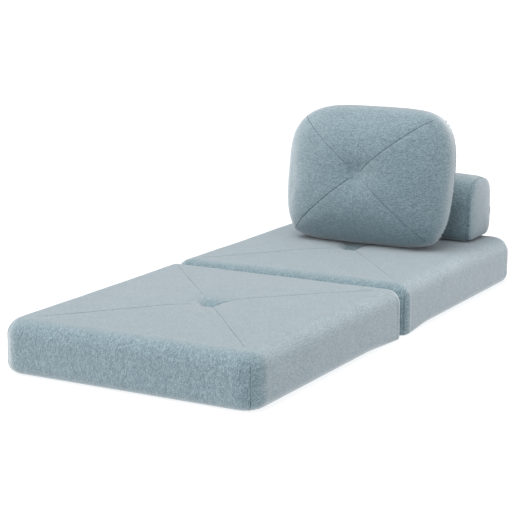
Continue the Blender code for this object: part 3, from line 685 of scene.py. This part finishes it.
BASE_RIPPLE = 0.0004
BASE_LIFT = 0.0014
BASE_MIDDLE = 0.0018
BASE_CLOTH_DEPTH = 0.0012

FACE_SIGNS = (-1, 1, -1, 1)
BLOCKS = {
    "front": Block("front", 1, FACE_SIGNS),
    "rear": Block("rear", -1, tuple(-sign for sign in FACE_SIGNS)),
}


def build_block(block):
    """A block's cover with its stitches, soft layer, tuft cord and base cloth."""
    body = f"{block.name}_block"
    rings, weave = block.net()
    seat_zip(rings, zip_of(block.name))
    tip = [*block.middle, float(block.top_height(block.middle[0], block.middle[1]))]
    cover = ring_object(f"{body}_cover", rings, first=tip)
    set_weave(cover, np.vstack([weave.reshape(-1, 3), [[*block.middle, 0]]]))
    give_thickness(cover, COVER_CLOTH)
    dress(cover, body, FABRIC, [f"{block.name}_cover"])

    build_comfort_layer(block, rings, tip)
    build_tuft_cord(block.name, body, tip)

    rows = len(rings)
    runs = []
    for column, end in zip(block.arm_columns, block.arm_ends):
        share = np.linspace(ARM_START_SHARE, ARM_END_SHARE - 0.02, 160)[:, None]
        spot = block.middle + (end - block.middle) * share
        height = block.top_height(spot[:, 0], spot[:, 1])
        row_shares = (np.arange(1, TOP_ROWS + 1) / TOP_ROWS) ** TOP_ROW_POWER
        broad = np.interp(share[:, 0], row_shares, rings[:TOP_ROWS, column, 2])
        line = np.column_stack([spot, np.maximum(height, broad)])
        runs.append((line, np.tile([0.0, 0.0, 1.0], (len(line), 1))))
    arms = stitch_run(f"{body}_arm_stitches", runs)
    dress(arms, body, PALE_THREAD)

    runs = []
    facing = normals_of(rings)
    first = TOP_ROWS + EDGE_ROWS // 2
    for start in block.loop.corner_starts:
        offset = np.abs(block.corner_offset()[start:start + len(block.loop.arc)] - CORNER_STITCH_AWAY)
        column = start + int(np.argmin(offset))
        runs.append((rings[first:rows - 1, column], facing[first:rows - 1, column]))
    corners = stitch_run(f"{body}_corner_stitches", runs)
    dress(corners, body, DARK_THREAD_AND_CREASE_SHADE)

    outline, facing = block.loop.at(0.0)
    rim = outline - facing * (block.floor_radius(outline[:, 1]) + CLOTH_GAP)[:, None]
    shares = np.linspace(0.04, 1.0, 26)
    panel = []
    for share in shares:
        spot = block.middle + (rim - block.middle) * share
        ripple = BASE_RIPPLE * smooth_noise(joined(spot, 0.0), 0.07, 11.3)
        height = (BASE_RIPPLE + ripple) * (1 - share ** 12) + BASE_LIFT
        panel.append(np.column_stack([spot, height]))
    panel = np.array(panel)[::-1]
    base = ring_object(f"{body}_base_cloth", panel, last=[*block.middle, BASE_MIDDLE])
    base.data.flip_normals()
    give_thickness(base, BASE_CLOTH_DEPTH)
    dress(base, body, BASE_CLOTH, [f"{block.name}_base_panel"])


# Zips

ZIP_PITCH = 0.0027
TOOTH_LENGTH = 0.0042
TOOTH_WIDTH = 0.0015
TOOTH_RISE = 0.0011
TOOTH_ASIDE = 0.0008
TOOTH_SUNK = 0.0006
ZIP_MARGIN = 0.010
ZIP_ENDS = 0.012
DIAGONAL = math.sqrt(0.5)
ZIP_DIRECTIONS = {
    "front": ((0, 1, 0), (-DIAGONAL, 0, -DIAGONAL)),
    "rear": ((1, 0, 0), (0, DIAGONAL, -DIAGONAL)),
    "bolster": ((1, 0, 0), (0, DIAGONAL, -DIAGONAL)),
    "cushion": ((1, 0, 0), (0, math.cos(math.radians(40)), -math.sin(math.radians(40)))),
}
ZIP_BODIES = {"front": "front_block", "rear": "rear_block", "bolster": "bolster", "cushion": "cushion"}


def zip_of(name):
    """Where a zip tape lies: its directions, its middle on the tape's back and its half sizes."""
    along, outward = (np.array(direction, float) for direction in ZIP_DIRECTIONS[name])
    across = np.cross(outward, along)
    points = np.array([vertex.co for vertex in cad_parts[f"{name}_zip_tape"].data.vertices])
    (near, far), (left, right), (back, top) = (
        ((points @ direction).min(), (points @ direction).max()) for direction in (along, across, outward))
    middle = along * (near + far) / 2 + across * (left + right) / 2 + outward * back
    return {"along": along, "across": across, "outward": outward, "middle": middle,
            "half_length": (far - near) / 2, "half_width": (right - left) / 2, "top": top - back}


def seat_zip(points, zipper):
    """Lets a cover down under its zip, so that the tape lies on it and not in it."""
    local = points - zipper["middle"]
    along = np.abs(local @ zipper["along"]) - zipper["half_length"]
    across = np.abs(local @ zipper["across"]) - zipper["half_width"]
    rise = local @ zipper["outward"]
    beside = np.maximum(along, across)
    limit = -0.0004 + np.clip(beside / ZIP_MARGIN, 0, 1) * 0.004
    inside = (beside < ZIP_MARGIN) & (rise > limit) & (rise > -0.03)
    points -= zipper["outward"] * (np.where(inside, rise - limit, 0))[..., None]


def box_faces(start):
    quads = ((0, 1, 3, 2), (4, 6, 7, 5), (0, 4, 5, 1), (2, 3, 7, 6), (0, 2, 6, 4), (1, 5, 7, 3))
    return [[start + k for k in quad] for quad in quads]


def build_zip_teeth(name):
    """Two rows of teeth that meet on the chain."""
    zipper = zip_of(name)
    count = int((zipper["half_length"] * 2 - ZIP_ENDS) / ZIP_PITCH)
    points, faces = [], []
    for number in range(2 * count):
        side = 1 if number % 2 else -1
        at = (number / 2 - count / 2) * ZIP_PITCH
        start = len(points)
        for a, b, c in itertools.product((-1, 1), repeat=3):
            taper = 0.8 if c > 0 else 1.0
            points.append(zipper["middle"] + zipper["along"] * (at + a * TOOTH_WIDTH / 2 * taper * 0.8)
                          + zipper["across"] * (side * TOOTH_ASIDE + b * TOOTH_LENGTH / 2 * taper)
                          + zipper["outward"] * (zipper["top"] - TOOTH_SUNK + (c + 1) / 2 * TOOTH_RISE * 0.7))
        faces += box_faces(start)
    teeth = mesh_object(f"{name}_zip_teeth", points, faces)
    for polygon in teeth.data.polygons:
        polygon.use_smooth = False
    dress(teeth, ZIP_BODIES[name], ZINC)


# Hinge

GUSSET_CLEAR = 0.0020
GUSSET_RISE = 0.0012
GUSSET_WAVE = 0.0003
GUSSET_FOOT = 0.012
GUSSET_STEPS = 14
GUSSET_CLOTH_DEPTH = 0.0012


def build_gusset():
    """The cloth strip in the groove, one pleated piece from block to block."""
    rear_low, rear_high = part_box("hinge_gusset_rear")
    wall = rear_high.y - GUSSET_CLEAR
    half_length = rear_high.x
    bottom, top = rear_low.z, rear_high.z
    outline = [(wall, bottom), (wall, bottom + GUSSET_FOOT)]
    for step in range(1, GUSSET_STEPS):
        share = step / GUSSET_STEPS
        side = math.cos(math.pi * share)
        rise = math.sin(math.pi * share) ** 0.6
        outline.append((wall * math.copysign(abs(side) ** 0.8, side),
                        bottom + GUSSET_FOOT + (top + GUSSET_RISE - bottom - GUSSET_FOOT) * rise))
    outline += [(-wall, bottom + GUSSET_FOOT), (-wall, bottom)]
    outline = resample(np.array(outline), 0.0022)
    xs = np.arange(-half_length, half_length + 0.004, 0.008)
    rows = []
    for y, z in outline:
        wave = GUSSET_WAVE * np.sin(xs / 0.031 * math.tau + z * 60)
        rows.append(joined(xs, y, z + wave * (z - bottom) / (top - bottom)))
    strip = ring_object("hinge_gusset", np.array(rows), closed=False)
    give_thickness(strip, GUSSET_CLOTH_DEPTH)
    dress(strip, None, GUSSET_CLOTH, ["hinge_gusset_front", "hinge_gusset_rear"])
    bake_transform(strip)


# Bolster

# At the rear below, the rear above, the front above and the front below
BOLSTER_RADII = (0.050, 0.070, 0.110, 0.030)
BOLSTER_REAR = 0.988
BOLSTER_FRONT = BOLSTER_REAR - 0.215
BOLSTER_HEIGHT = 0.232
BOLSTER_BULGE = 0.005
BOLSTER_SEAM_PULL = 0.003
BOLSTER_EDGE_ROUND = 0.005
BOLSTER_END_DOME = 0.014
BOLSTER_END_LIP = 0.004
CAP_GAP = 0.0012
CAP_DOME_POWER = 0.5
CAP_SHARES = (0.975, 0.95, 0.92, 0.88, 0.83, 0.77, 0.7, 0.62, 0.53, 0.43, 0.32, 0.2, 0.1)
CORE_INSET = 0.0045


class Bolster:
    """The loose bolster: a sleeve along X and two padded ends."""

    def __init__(self):
        low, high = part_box("bolster_cover")
        self.half = high.x
        self.floor, self.top = low.z, low.z + BOLSTER_HEIGHT
        corners = np.array([BOLSTER_FRONT, self.floor]), np.array([BOLSTER_REAR, self.top])
        self.outline, self.facing = Loop(*corners, BOLSTER_RADII).at(0.0)
        self.middle = np.array([(BOLSTER_FRONT + BOLSTER_REAR) / 2, (self.floor + self.top) / 2])
        self.walk = way_along(self.outline)

    def section(self, share):
        """The section at a share of the half length, with its bulge and the pull of the end seams."""
        lift = np.clip((self.outline[:, 1] - self.floor) / (self.top - self.floor), 0, 1)
        swell = BOLSTER_BULGE * (1 - share ** 2) * lift - BOLSTER_SEAM_PULL * abs(share) ** 8 * lift
        near_seam = np.exp(-(1 - abs(share)) * self.half / 0.022)
        gather = 0.0007 * np.sin(self.walk / 0.014 * math.tau + 1.3 * np.sin(self.walk / 0.09)) * near_seam
        swell = swell - BOLSTER_EDGE_ROUND * bell((1 - abs(share)) * self.half, 0.015)
        sag = 0.0010 * np.sin(share * 9 + self.walk * 11) * (1 - near_seam)
        return self.outline + self.facing * (swell + (gather + sag) * np.clip(lift * 8, 0, 1))[:, None]


def build_bolster():
    """The bolster's sleeve, foam, padded ends and the stitches beside its end seams."""
    bolster = Bolster()
    inner = 1 - np.array([0.0, 0.0022, 0.005, 0.009, 0.015, 0.024, 0.037, 0.055, 0.08])
    shares = np.concatenate([inner, np.linspace(0.9, -0.9, 70), -inner[::-1]])
    rings, weave = [], []
    for share in shares:
        section = bolster.section(share)
        edge = bell((1 - abs(share)) * bolster.half, 0.0022)
        section = section - bolster.facing * 0.0018 * edge
        x = share * bolster.half
        rings.append(joined(x, section))
        weave.append(joined(bolster.walk, x, 2.0))
    rings = np.array(rings)
    seat_zip(rings, zip_of("bolster"))
    sleeve = ring_object("bolster_sleeve", rings)
    set_weave(sleeve, np.array(weave).reshape(-1, 3))
    give_thickness(sleeve, COVER_CLOTH)
    dress(sleeve, "bolster", FABRIC, ["bolster_cover"])

    core = []
    for share in np.linspace(1, -1, 41):
        section = bolster.section(share) - bolster.facing * CORE_INSET
        core.append(joined(share * (bolster.half - 0.001), section))
    ends = [(side * (bolster.half - 0.001), *bolster.middle) for side in (1, -1)]
    foam = ring_object("bolster_core", np.array(core), first=ends[0], last=ends[1])
    dress(foam, "bolster", FIRM_FOAM, ["bolster_foam_core"])

    seams = []
    for side, word in ((1, "right"), (-1, "left")):
        rim = bolster.half + CAP_GAP
        edge = bolster.section(1.0)
        profile = [(1.0, 0.0), (1.0, BOLSTER_END_LIP * 0.55), (0.992, BOLSTER_END_LIP * 1.1)]
        profile += [(share, None) for share in CAP_SHARES]
        cap, cloth = [], []
        for share, reach in profile:
            if reach is None:
                reach = BOLSTER_END_LIP + BOLSTER_END_DOME * (1 - share ** 2) ** CAP_DOME_POWER
            spot = bolster.middle + (edge - bolster.middle) * share
            ripple = 0.0006 * np.sin(bolster.walk / 0.013 * math.tau)
            x = side * (rim + reach + ripple * np.exp(-(1 - share) / 0.06) * (share < 1))
            cap.append(joined(x, spot))
            cloth.append(joined(spot + 0.3, 4.0 + side))
        cap, cloth = np.array(cap), np.array(cloth)
        dome = [side * (rim + BOLSTER_END_LIP + BOLSTER_END_DOME), *bolster.middle]
        if side > 0:
            cap, cloth = cap[::-1], cloth[::-1]
        piece = ring_object(f"bolster_end_{word}", cap, **{"first" if side > 0 else "last": dome})
        set_weave(piece, np.vstack([cloth.reshape(-1, 3), [[*(bolster.middle + 0.3), 4.0 + side]]]))
        give_thickness(piece, COVER_CLOTH)
        dress(piece, "bolster", FABRIC, [f"bolster_end_cap_{word}"])

        line_share = 1 - 0.006 / bolster.half
        section = bolster.section(line_share)
        line = joined(side * line_share * bolster.half, section)
        facing = joined(0.0, bolster.facing)
        seams.append((np.vstack([line, line[:1]]), np.vstack([facing, facing[:1]])))
    dress(stitch_run("bolster_seam_stitches", seams), "bolster", DARK_THREAD_AND_CREASE_SHADE)


TAB_LONGER = 0.007


def build_tab():
    """The plain cloth tab in the bolster's seam, one folded strip."""
    low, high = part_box("bolster_label_tab")
    middle = (low + high) / 2
    half = (high.x - low.x) / 2
    outline = []
    for step in range(9):
        angle = -math.pi / 2 + math.pi * step / 8
        outline.append((half * math.sin(angle), high.y + TAB_LONGER - half + half * math.cos(angle)))
    outline = [(-half, low.y - 0.002)] + outline + [(half, low.y - 0.002)]
    heights = np.linspace(low.z, high.z, 9)
    rings = []
    for z in heights:
        bow = 0.0006 * math.sin((z - low.z) / (high.z - low.z) * math.pi)
        rings.append([(middle.x + x + bow, y, z) for x, y in outline])
    tab = mesh_object("bolster_tab", rings[::-1], turned(tube_faces(len(rings), len(outline))))
    dress(tab, "bolster", TAB_CLOTH, ["bolster_label_tab"])


# Back cushion

CUSHION_WIDTH = 0.664
CUSHION_HEIGHT = 0.521
CUSHION_DEPTH = 0.270
CUSHION_LEAN = math.radians(10.3)
CUSHION_HEAD_POWER = 3.4
CUSHION_FOOT_POWER = 5.5
CUSHION_FOOT_TAPER = 0.08
CUSHION_EAR = 0.008
CUSHION_HEAD_LIFT = 0.016
CUSHION_SEAM_BACK = 0.041
SEAM_CLUSTER = (-0.045, -0.030, -0.018, -0.009, 0.0, 0.009, 0.018, 0.030, 0.045)
CUSHION_CROWN_POWER = 2.5
CUSHION_TUFT_DEPTH = 0.022
CUSHION_TUFT_REACH = 0.042
CUSHION_PINCH = 0.009
CUSHION_PINCH_REACH = 0.014
CUSHION_GATHER = 0.0022
CUSHION_GATHER_PITCH = 0.0165
CUSHION_SEAM_GROOVE = 0.0030
CUSHION_SHIFT = 0.020
CUSHION_STANDOFF = 0.146
CUSHION_SINK = 0.008
CUSHION_ROWS = 56
CUSHION_STEP = 0.0085
CLUSTER = (0.0, 0.0010, 0.0022, 0.0038, 0.0060, 0.0090, 0.0130, 0.0180, 0.0240)
ARM_REACH_SHARE = 0.90
RIM_STEPS = 4000
LIP_SIDES = 8
LIP_CLOTH_STEP = 0.0012
SIM_CLEARANCE = 0.004
VOXEL = 0.006
SIM_FRAMES = 20
SIM_CAP = 0.012
SIM_SETTINGS = {
    "quality": 5, "mass": 0.3, "tension_stiffness": 12, "compression_stiffness": 12, "shear_stiffness": 6,
    "bending_stiffness": 0.4, "vertex_group_mass": "pins", "use_pressure": True, "uniform_pressure_force": 4.0,
}


class Cushion:
    """The back cushion in its own axes: wide, tall and deep, with deep pointing to its back."""

    def __init__(self, block, bolster_front):
        middle_y = bolster_front - CUSHION_STANDOFF
        rise = CUSHION_HEIGHT / 2 * math.cos(CUSHION_LEAN)
        middle_z = float(block.rest_height(0.0, middle_y)) - CUSHION_SINK + rise
        self.place = np.array([CUSHION_SHIFT, middle_y, middle_z])
        self.axes = np.array([(1, 0, 0), (0, math.sin(CUSHION_LEAN), math.cos(CUSHION_LEAN)),
                              (0, math.cos(CUSHION_LEAN), -math.sin(CUSHION_LEAN))])
        self.rim, self.ear, self.walk, self.corner_away = self.rim_line()
        seam = math.pi - math.acos((CUSHION_SEAM_BACK * 2 / CUSHION_DEPTH) ** (CUSHION_CROWN_POWER / 2))
        turns = np.arange(1, 2 * CUSHION_ROWS) / CUSHION_ROWS * math.pi / 2
        turns = np.concatenate([turns[np.abs(turns - seam) > 0.06], seam + np.array(SEAM_CLUSTER)])
        self.turns = np.sort(turns)
        self.seam_row = int(np.argmin(np.abs(self.turns - seam)))
        places = np.array([self.profile(min(turn, math.pi - turn)) for turn in self.turns])
        self.share = places[:, 0]
        self.level = places[:, 1] * np.sign(self.turns - math.pi / 2)

    def world(self, local):
        return self.place + local @ self.axes

    def rim_line(self):
        """Points of the seam, each one's way along it, and its distance from the nearest corner."""
        turn = np.linspace(0, math.tau, RIM_STEPS + 1)
        power = 2 / np.where(np.sin(turn) > 0, CUSHION_HEAD_POWER, CUSHION_FOOT_POWER)
        wide = np.copysign(np.abs(np.cos(turn)) ** power, np.cos(turn)) * CUSHION_WIDTH / 2
        tall = np.copysign(np.abs(np.sin(turn)) ** power, np.sin(turn))
        wide = wide * (1 - CUSHION_FOOT_TAPER * np.clip(-tall, 0, 1) ** 2)
        dense = np.stack([wide, tall * CUSHION_HEIGHT / 2], axis=1)
        walked = way_along(dense)
        corners = walked[RIM_STEPS // 8::RIM_STEPS // 4]
        places = []
        for number, corner in enumerate(corners):
            following = corners[(number + 1) % 4] + (walked[-1] if number == 3 else 0)
            first, last = corner + CLUSTER[-1], following - CLUSTER[-1]
            count = int((last - first) / CUSHION_STEP)
            places += [corner + away for away in CLUSTER]
            places += list(np.linspace(first, last, count + 1)[1:-1])
            places += [following - away for away in CLUSTER[:0:-1]]
        places = np.array(places)
        around = np.mod(places, walked[-1])
        rim = np.stack([np.interp(around, walked, dense[:, k]) for k in (0, 1)], axis=1)
        gaps = np.abs(around[:, None] - corners[None])
        away = np.minimum(gaps, walked[-1] - gaps).min(axis=1)
        ear = CUSHION_EAR * bell(away, 0.030) * (rim[:, 1] < 0)
        ahead = rim / np.linalg.norm(rim, axis=1)[:, None]
        rim[:, 1] += CUSHION_HEAD_LIFT * bell(away, 0.110) * (rim[:, 1] > 0) * (rim[:, 0] > 0)
        return rim, ahead * ear[:, None], places, away

    def profile(self, turn):
        """Share of the way to the seam and depth at a turn from the tuft, 0, to the seam, a quarter."""
        power = 2 / CUSHION_CROWN_POWER
        return math.sin(turn) ** power, math.cos(turn) ** power * CUSHION_DEPTH / 2

    def net(self, shrink=0.0):
        """Rings from the front tuft over the seam to the back tuft, in the cushion's own axes."""
        rings = []
        for share, level in zip(self.share, self.level):
            size = 1 - shrink / (CUSHION_HEIGHT / 2)
            spot = (self.rim * share + self.ear * share ** 12) * size
            deep = level - math.copysign(shrink, level) * (abs(level) > 0.02)
            rings.append(joined(spot, deep))
        return np.array(rings)


def points_of(piece):
    flat = np.empty(len(piece.data.vertices) * 3)
    piece.data.vertices.foreach_get("co", flat)
    return flat.reshape(-1, 3)


def applied(piece):
    """The piece with its modifiers made real."""
    graph = bpy.context.evaluated_depsgraph_get()
    mesh = bpy.data.meshes.new_from_object(piece.evaluated_get(graph), depsgraph=graph)
    piece.modifiers.clear()
    piece.data = mesh
    return piece


def inflated(cushion):
    """The cushion's cloth blown up over its seam and tuft, as a mesh to lay the final net on."""
    net = cushion.net(SIM_CLEARANCE)
    tip = CUSHION_DEPTH / 2 - SIM_CLEARANCE
    piece = ring_object("cushion_cloth", net, first=(0, 0, -tip), last=(0, 0, tip))
    remesh = piece.modifiers.new("remesh", "REMESH")
    remesh.mode = "VOXEL"
    remesh.voxel_size = VOXEL
    applied(piece)
    start = points_of(piece)
    reach = np.hypot(start[:, 0], start[:, 1])
    outline = (np.abs(start[:, 0] / CUSHION_WIDTH * 2) ** CUSHION_HEAD_POWER
               + np.abs(start[:, 1] / CUSHION_HEIGHT * 2) ** CUSHION_HEAD_POWER)
    on_rim = (np.abs(start[:, 2] - CUSHION_SEAM_BACK) < 0.008) & (outline > 0.6)
    pins = piece.vertex_groups.new(name="pins")
    pins.add(np.nonzero(on_rim | (reach < 0.012))[0].tolist(), 1.0, "REPLACE")
    cloth = piece.modifiers.new("cloth", "CLOTH")
    for key, value in SIM_SETTINGS.items():
        setattr(cloth.settings, key, value)
    cloth.settings.effector_weights.gravity = 0
    cloth.point_cache.frame_start = 1
    cloth.point_cache.frame_end = SIM_FRAMES
    scene = bpy.context.scene
    for number in range(1, SIM_FRAMES + 1):
        scene.frame_set(number)
    graph = bpy.context.evaluated_depsgraph_get()
    shift = points_of(piece.evaluated_get(graph)) - start
    scene.frame_set(1)
    length = np.linalg.norm(shift, axis=1, keepdims=True)
    moved = start + shift * np.minimum(1, SIM_CAP / np.maximum(length, 1e-9))
    faces = [tuple(polygon.vertices) for polygon in piece.data.polygons]
    bpy.data.objects.remove(piece)
    return BVHTree.FromPolygons([Vector(point) for point in moved], faces)


def laid_on(net, facing, tree):
    """The net moved along its outward directions onto the simulated cloth."""
    move = np.zeros(net.shape[:2])
    start = 0.06
    for row, column in np.ndindex(*move.shape):
        ahead = Vector(facing[row, column])
        hit = tree.ray_cast(Vector(net[row, column]) + ahead * start, -ahead, 2 * start)
        if hit[0] is not None:
            move[row, column] = start - hit[3]
    move = np.clip(move, -0.006, SIM_CAP)
    for _ in range(3):
        move = (move + np.roll(move, 1, axis=1) + np.roll(move, -1, axis=1)) / 3
        inner = (move[:-2] + move[1:-1] + move[2:]) / 3
        move = np.vstack([move[:1], inner, move[-1:]])
    return net + facing * move[..., None]


def build_cushion():
    """The back cushion's cloth, its filling, the sewn X of dark stitches that also paint the creases' shade,
    and the rolled lip of its seam.
    """
    rear = BLOCKS["rear"]
    cushion = Cushion(rear, BOLSTER_FRONT)
    net = cushion.net()
    facing = -normals_of(net)
    rows = len(net)
    net = laid_on(net, facing, inflated(cushion))
    reach = np.hypot(net[..., 0], net[..., 1])
    angle = np.arctan2(net[..., 1], net[..., 0])
    edge = cushion.share[:, None]
    from_seam = (cushion.level - CUSHION_SEAM_BACK)[:, None]
    away = cushion.corner_away[None] * edge * 0.8
    tuft = CUSHION_TUFT_DEPTH * np.exp(-reach / CUSHION_TUFT_REACH)
    tuft = tuft + CUSHION_PINCH * np.exp(-reach / CUSHION_PINCH_REACH)
    tuft = tuft + PLEAT_DEPTH * np.cos(PLEATS * angle) * bell(reach - 0.024, 0.018)
    fade = np.clip((ARM_REACH_SHARE - edge) * 10, 0, 1) * np.clip(edge * 12, 0, 1)
    valley = (0.0009 * bell(away, 0.011) + 0.0018 * bell(away, 0.0017)) * fade
    net = net - facing * (tuft + valley)[..., None]

    near_seam = bell(from_seam, 0.016)
    corner = bell(cushion.corner_away[None], 0.075)
    walk = cushion.walk[None]
    gather = CUSHION_GATHER * np.sin(walk / CUSHION_GATHER_PITCH * math.tau + 1.7 * np.sin(walk / 0.11))
    gather = gather * near_seam * (0.30 + corner)
    groove = CUSHION_SEAM_GROOVE * bell(from_seam, 0.0042)
    soft = 0.0016 * smooth_noise(net, 0.11, 5.5) + 0.0006 * smooth_noise(net, 0.035, 2.5)
    net = net + facing * (gather - groove + soft * (1 - near_seam))[..., None]

    spots = cushion.rim[None] * edge[:, :, None]
    from_tuft = np.concatenate([np.zeros((1, *net.shape[1:])) + [0, 0, net[0, 0, 2]], net])
    run = np.linalg.norm(np.diff(from_tuft, axis=0), axis=-1).cumsum(axis=0)
    behind = np.arange(rows)[:, None] > cushion.seam_row
    run = np.where(behind, 2 * run[cushion.seam_row][None] - run, run)
    ahead = spots / np.maximum(np.linalg.norm(spots, axis=-1, keepdims=True), 1e-9)
    flat = ahead * np.maximum(run, 0)[..., None]
    weave = np.stack([flat[..., 1], flat[..., 0], np.where(behind, 8.0, 6.0) + 0 * run], axis=-1)

    points = cushion.world(net)
    seat_zip(points, zip_of("cushion"))
    resting = rear.rest_height(points[..., 0], points[..., 1]) + 0.0012
    points[..., 2] = np.maximum(points[..., 2], resting)
    tips = [cushion.world(np.array([0, 0, net[row, :, 2].mean()])) for row in (0, -1)]
    piece = ring_object("back_cushion", points, first=tips[0], last=tips[1])
    set_weave(piece, np.vstack([weave.reshape(-1, 3), [[0, 0, 6.0], [0, 0, 8.0]]]))
    give_thickness(piece, COVER_CLOTH)
    dress(piece, "cushion", FABRIC, ["cushion_front_panel", "cushion_back_panel"])

    spare = COVER_CLOTH + 0.002 + 0.007 * bell(reach, 0.080)
    straight = np.clip(1.6 - reach / 0.100, 0, 1)[..., None]
    ahead = np.where(np.arange(rows) < rows // 2, -1.0, 1.0)[:, None, None] * cushion.axes[2]
    inner = points - ((facing @ cushion.axes) * (1 - straight) + ahead * straight) * spare[..., None]
    inner = inner[1:-1:3, ::2]
    inward = cushion.axes[2] * (COVER_CLOTH + 0.010)
    filling = ring_object("cushion_filling", inner, first=tips[0] + inward, last=tips[1] - inward)
    dress(filling, "cushion", SOFT_FILL, ["cushion_fibre_core"])

    outward = facing @ cushion.axes
    runs = []
    for column in np.nonzero(cushion.corner_away < 1e-6)[0]:
        for part in (slice(0, int(CUSHION_ROWS * 0.80)), slice(rows - int(CUSHION_ROWS * 0.80), rows)):
            runs.append((points[part, column] - outward[part, column] * 0.0002, outward[part, column]))
    # The arms' dark thread is sunk into the valleys with almost no gap between stitches, so its line is real
    # thread and also painted crease shade.
    arms = stitch_run("cushion_arm_stitches", runs, 0.0007, 0.0004)
    dress(arms, "cushion", DARK_THREAD_AND_CREASE_SHADE)

    centre = points[cushion.seam_row]
    outward = facing[cushion.seam_row] @ cushion.axes
    across = cushion.axes[2]
    lip = []
    for turn in np.arange(LIP_SIDES) / LIP_SIDES * math.tau:
        lip.append(centre + outward * (0.0016 + 0.0034 * math.cos(turn)) + across * 0.0014 * math.sin(turn))
    lip = np.array(lip)
    resting = rear.rest_height(lip[..., 0], lip[..., 1]) + 0.0008
    lip[..., 2] = np.maximum(lip[..., 2], resting + 0.0005 * (np.arange(LIP_SIDES)[:, None] % 4) / 4)
    count = lip.shape[1]
    faces = [[corner % (LIP_SIDES * count) for corner in face] for face in ring_faces(LIP_SIDES + 1, count)]
    roll = mesh_object("cushion_seam_lip", lip, faces)
    cloth = np.stack([joined(row * LIP_CLOTH_STEP, cushion.walk, 12.0) for row in range(LIP_SIDES)])
    set_weave(roll, cloth)
    dress(roll, "cushion", FABRIC)


# Stage

FLOOR_COLOUR = (0.24, 0.245, 0.25)
FLOOR_GLOW = 0.82
FLOOR_REACH = 60.0
FLOOR_DROP = 0.0006
WORLD_LOW = 0.12
WORLD_HIGH = 0.95
HAZE_START = 0.05
HAZE_END = 0.10
HAZE_GLOW = 0.90
WORLD_COLOUR = (0.97, 0.99, 1.0)
SUN_STRENGTH = 2.8
SUN_COLOUR = (1.0, 0.98, 0.96)
SUN_SPREAD = math.radians(50)
SUN_AZIMUTH = math.radians(-32)
SUN_HEIGHT = math.radians(68)


def build_stage():
    """A pale floor, a world that brightens upwards, with haze along the horizon, and one soft sun."""
    floor_finish = Finish("pale_floor", FLOOR_COLOUR, 0.6)
    floor_finish.set("Emission Color", (1.0, 1.0, 1.0, 1))
    floor_finish.set("Emission Strength", FLOOR_GLOW)
    corners = [(x * FLOOR_REACH, y * FLOOR_REACH, 0) for x, y in ((-1, -1), (1, -1), (1, 1), (-1, 1))]
    floor = mesh_object("floor", corners, [(0, 1, 2, 3)])
    floor.location.z = -FLOOR_DROP
    floor.data.materials.append(floor_finish.material)

    world = bpy.data.worlds.new("studio")
    bpy.context.scene.world = world
    world.use_nodes = True
    tree = world.node_tree
    coordinates = tree.nodes.new("ShaderNodeTexCoord")
    split = tree.nodes.new("ShaderNodeSeparateXYZ")
    background = tree.nodes["Background"]
    background.inputs["Color"].default_value = (*WORLD_COLOUR, 1)
    tree.links.new(coordinates.outputs["Generated"], split.inputs[0])
    both = tree.nodes.new("ShaderNodeMath")
    both.operation = "ADD"
    brightness = (0.0, 1.0, WORLD_LOW, WORLD_HIGH), (HAZE_START, HAZE_END, HAZE_GLOW, 0.0)
    for number, values in enumerate(brightness):
        part = tree.nodes.new("ShaderNodeMapRange")
        tree.links.new(split.outputs["Z"], part.inputs["Value"])
        for socket, value in zip(("From Min", "From Max", "To Min", "To Max"), values):
            part.inputs[socket].default_value = value
        tree.links.new(part.outputs["Result"], both.inputs[number])
    tree.links.new(both.outputs[0], background.inputs["Strength"])

    sun = bpy.data.lights.new("key", "SUN")
    sun.energy = SUN_STRENGTH
    sun.color = SUN_COLOUR
    sun.angle = SUN_SPREAD
    lamp = bpy.data.objects.new("key", sun)
    bpy.context.scene.collection.objects.link(lamp)
    direction = Vector((math.sin(SUN_AZIMUTH) * math.cos(SUN_HEIGHT),
                        -math.cos(SUN_AZIMUTH) * math.cos(SUN_HEIGHT), math.sin(SUN_HEIGHT)))
    lamp.rotation_euler = direction.to_track_quat("Z", "Y").to_euler()


def build_camera():
    data = bpy.data.cameras.new("camera")
    data.lens = CAMERA_LENS
    data.sensor_width = CAMERA_SENSOR
    camera = bpy.data.objects.new("camera", data)
    camera.location = CAMERA_PLACE
    camera.rotation_euler = (math.pi / 2 + CAMERA_PITCH, 0, CAMERA_YAW)
    bpy.context.scene.collection.objects.link(camera)
    bpy.context.scene.camera = camera
    bpy.context.scene.view_settings.view_transform = "Standard"


def finish_nodes():
    """Materials of the CAD pieces that stay."""
    finishes = {
        "foam_core": (FIRM_FOAM, "firm_foam"), "comfort_layer": (SOFT_FILL, "soft_fill"),
        "fibre_core": (SOFT_FILL, "soft_fill"), "tuft_cord": (CORD, "tufting_cord"),
        "tuft_anchor": (ANCHOR, "anchor_plastic"), "zip_tape": (ZIP_CLOTH, "zip_cloth"),
        "zip_slider": (ZINC, "slider_zinc"),
    }
    for name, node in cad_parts.items():
        for ending, (material, slot) in finishes.items():
            if name.endswith(ending) and not node.hide_render:
                node.data.materials.clear()
                node.data.materials.append(material)


build_camera()
build_stage()
for each in BLOCKS.values():
    build_block(each)
build_gusset()
build_bolster()
build_tab()
build_cushion()
for each in ZIP_DIRECTIONS:
    build_zip_teeth(each)
finish_nodes()
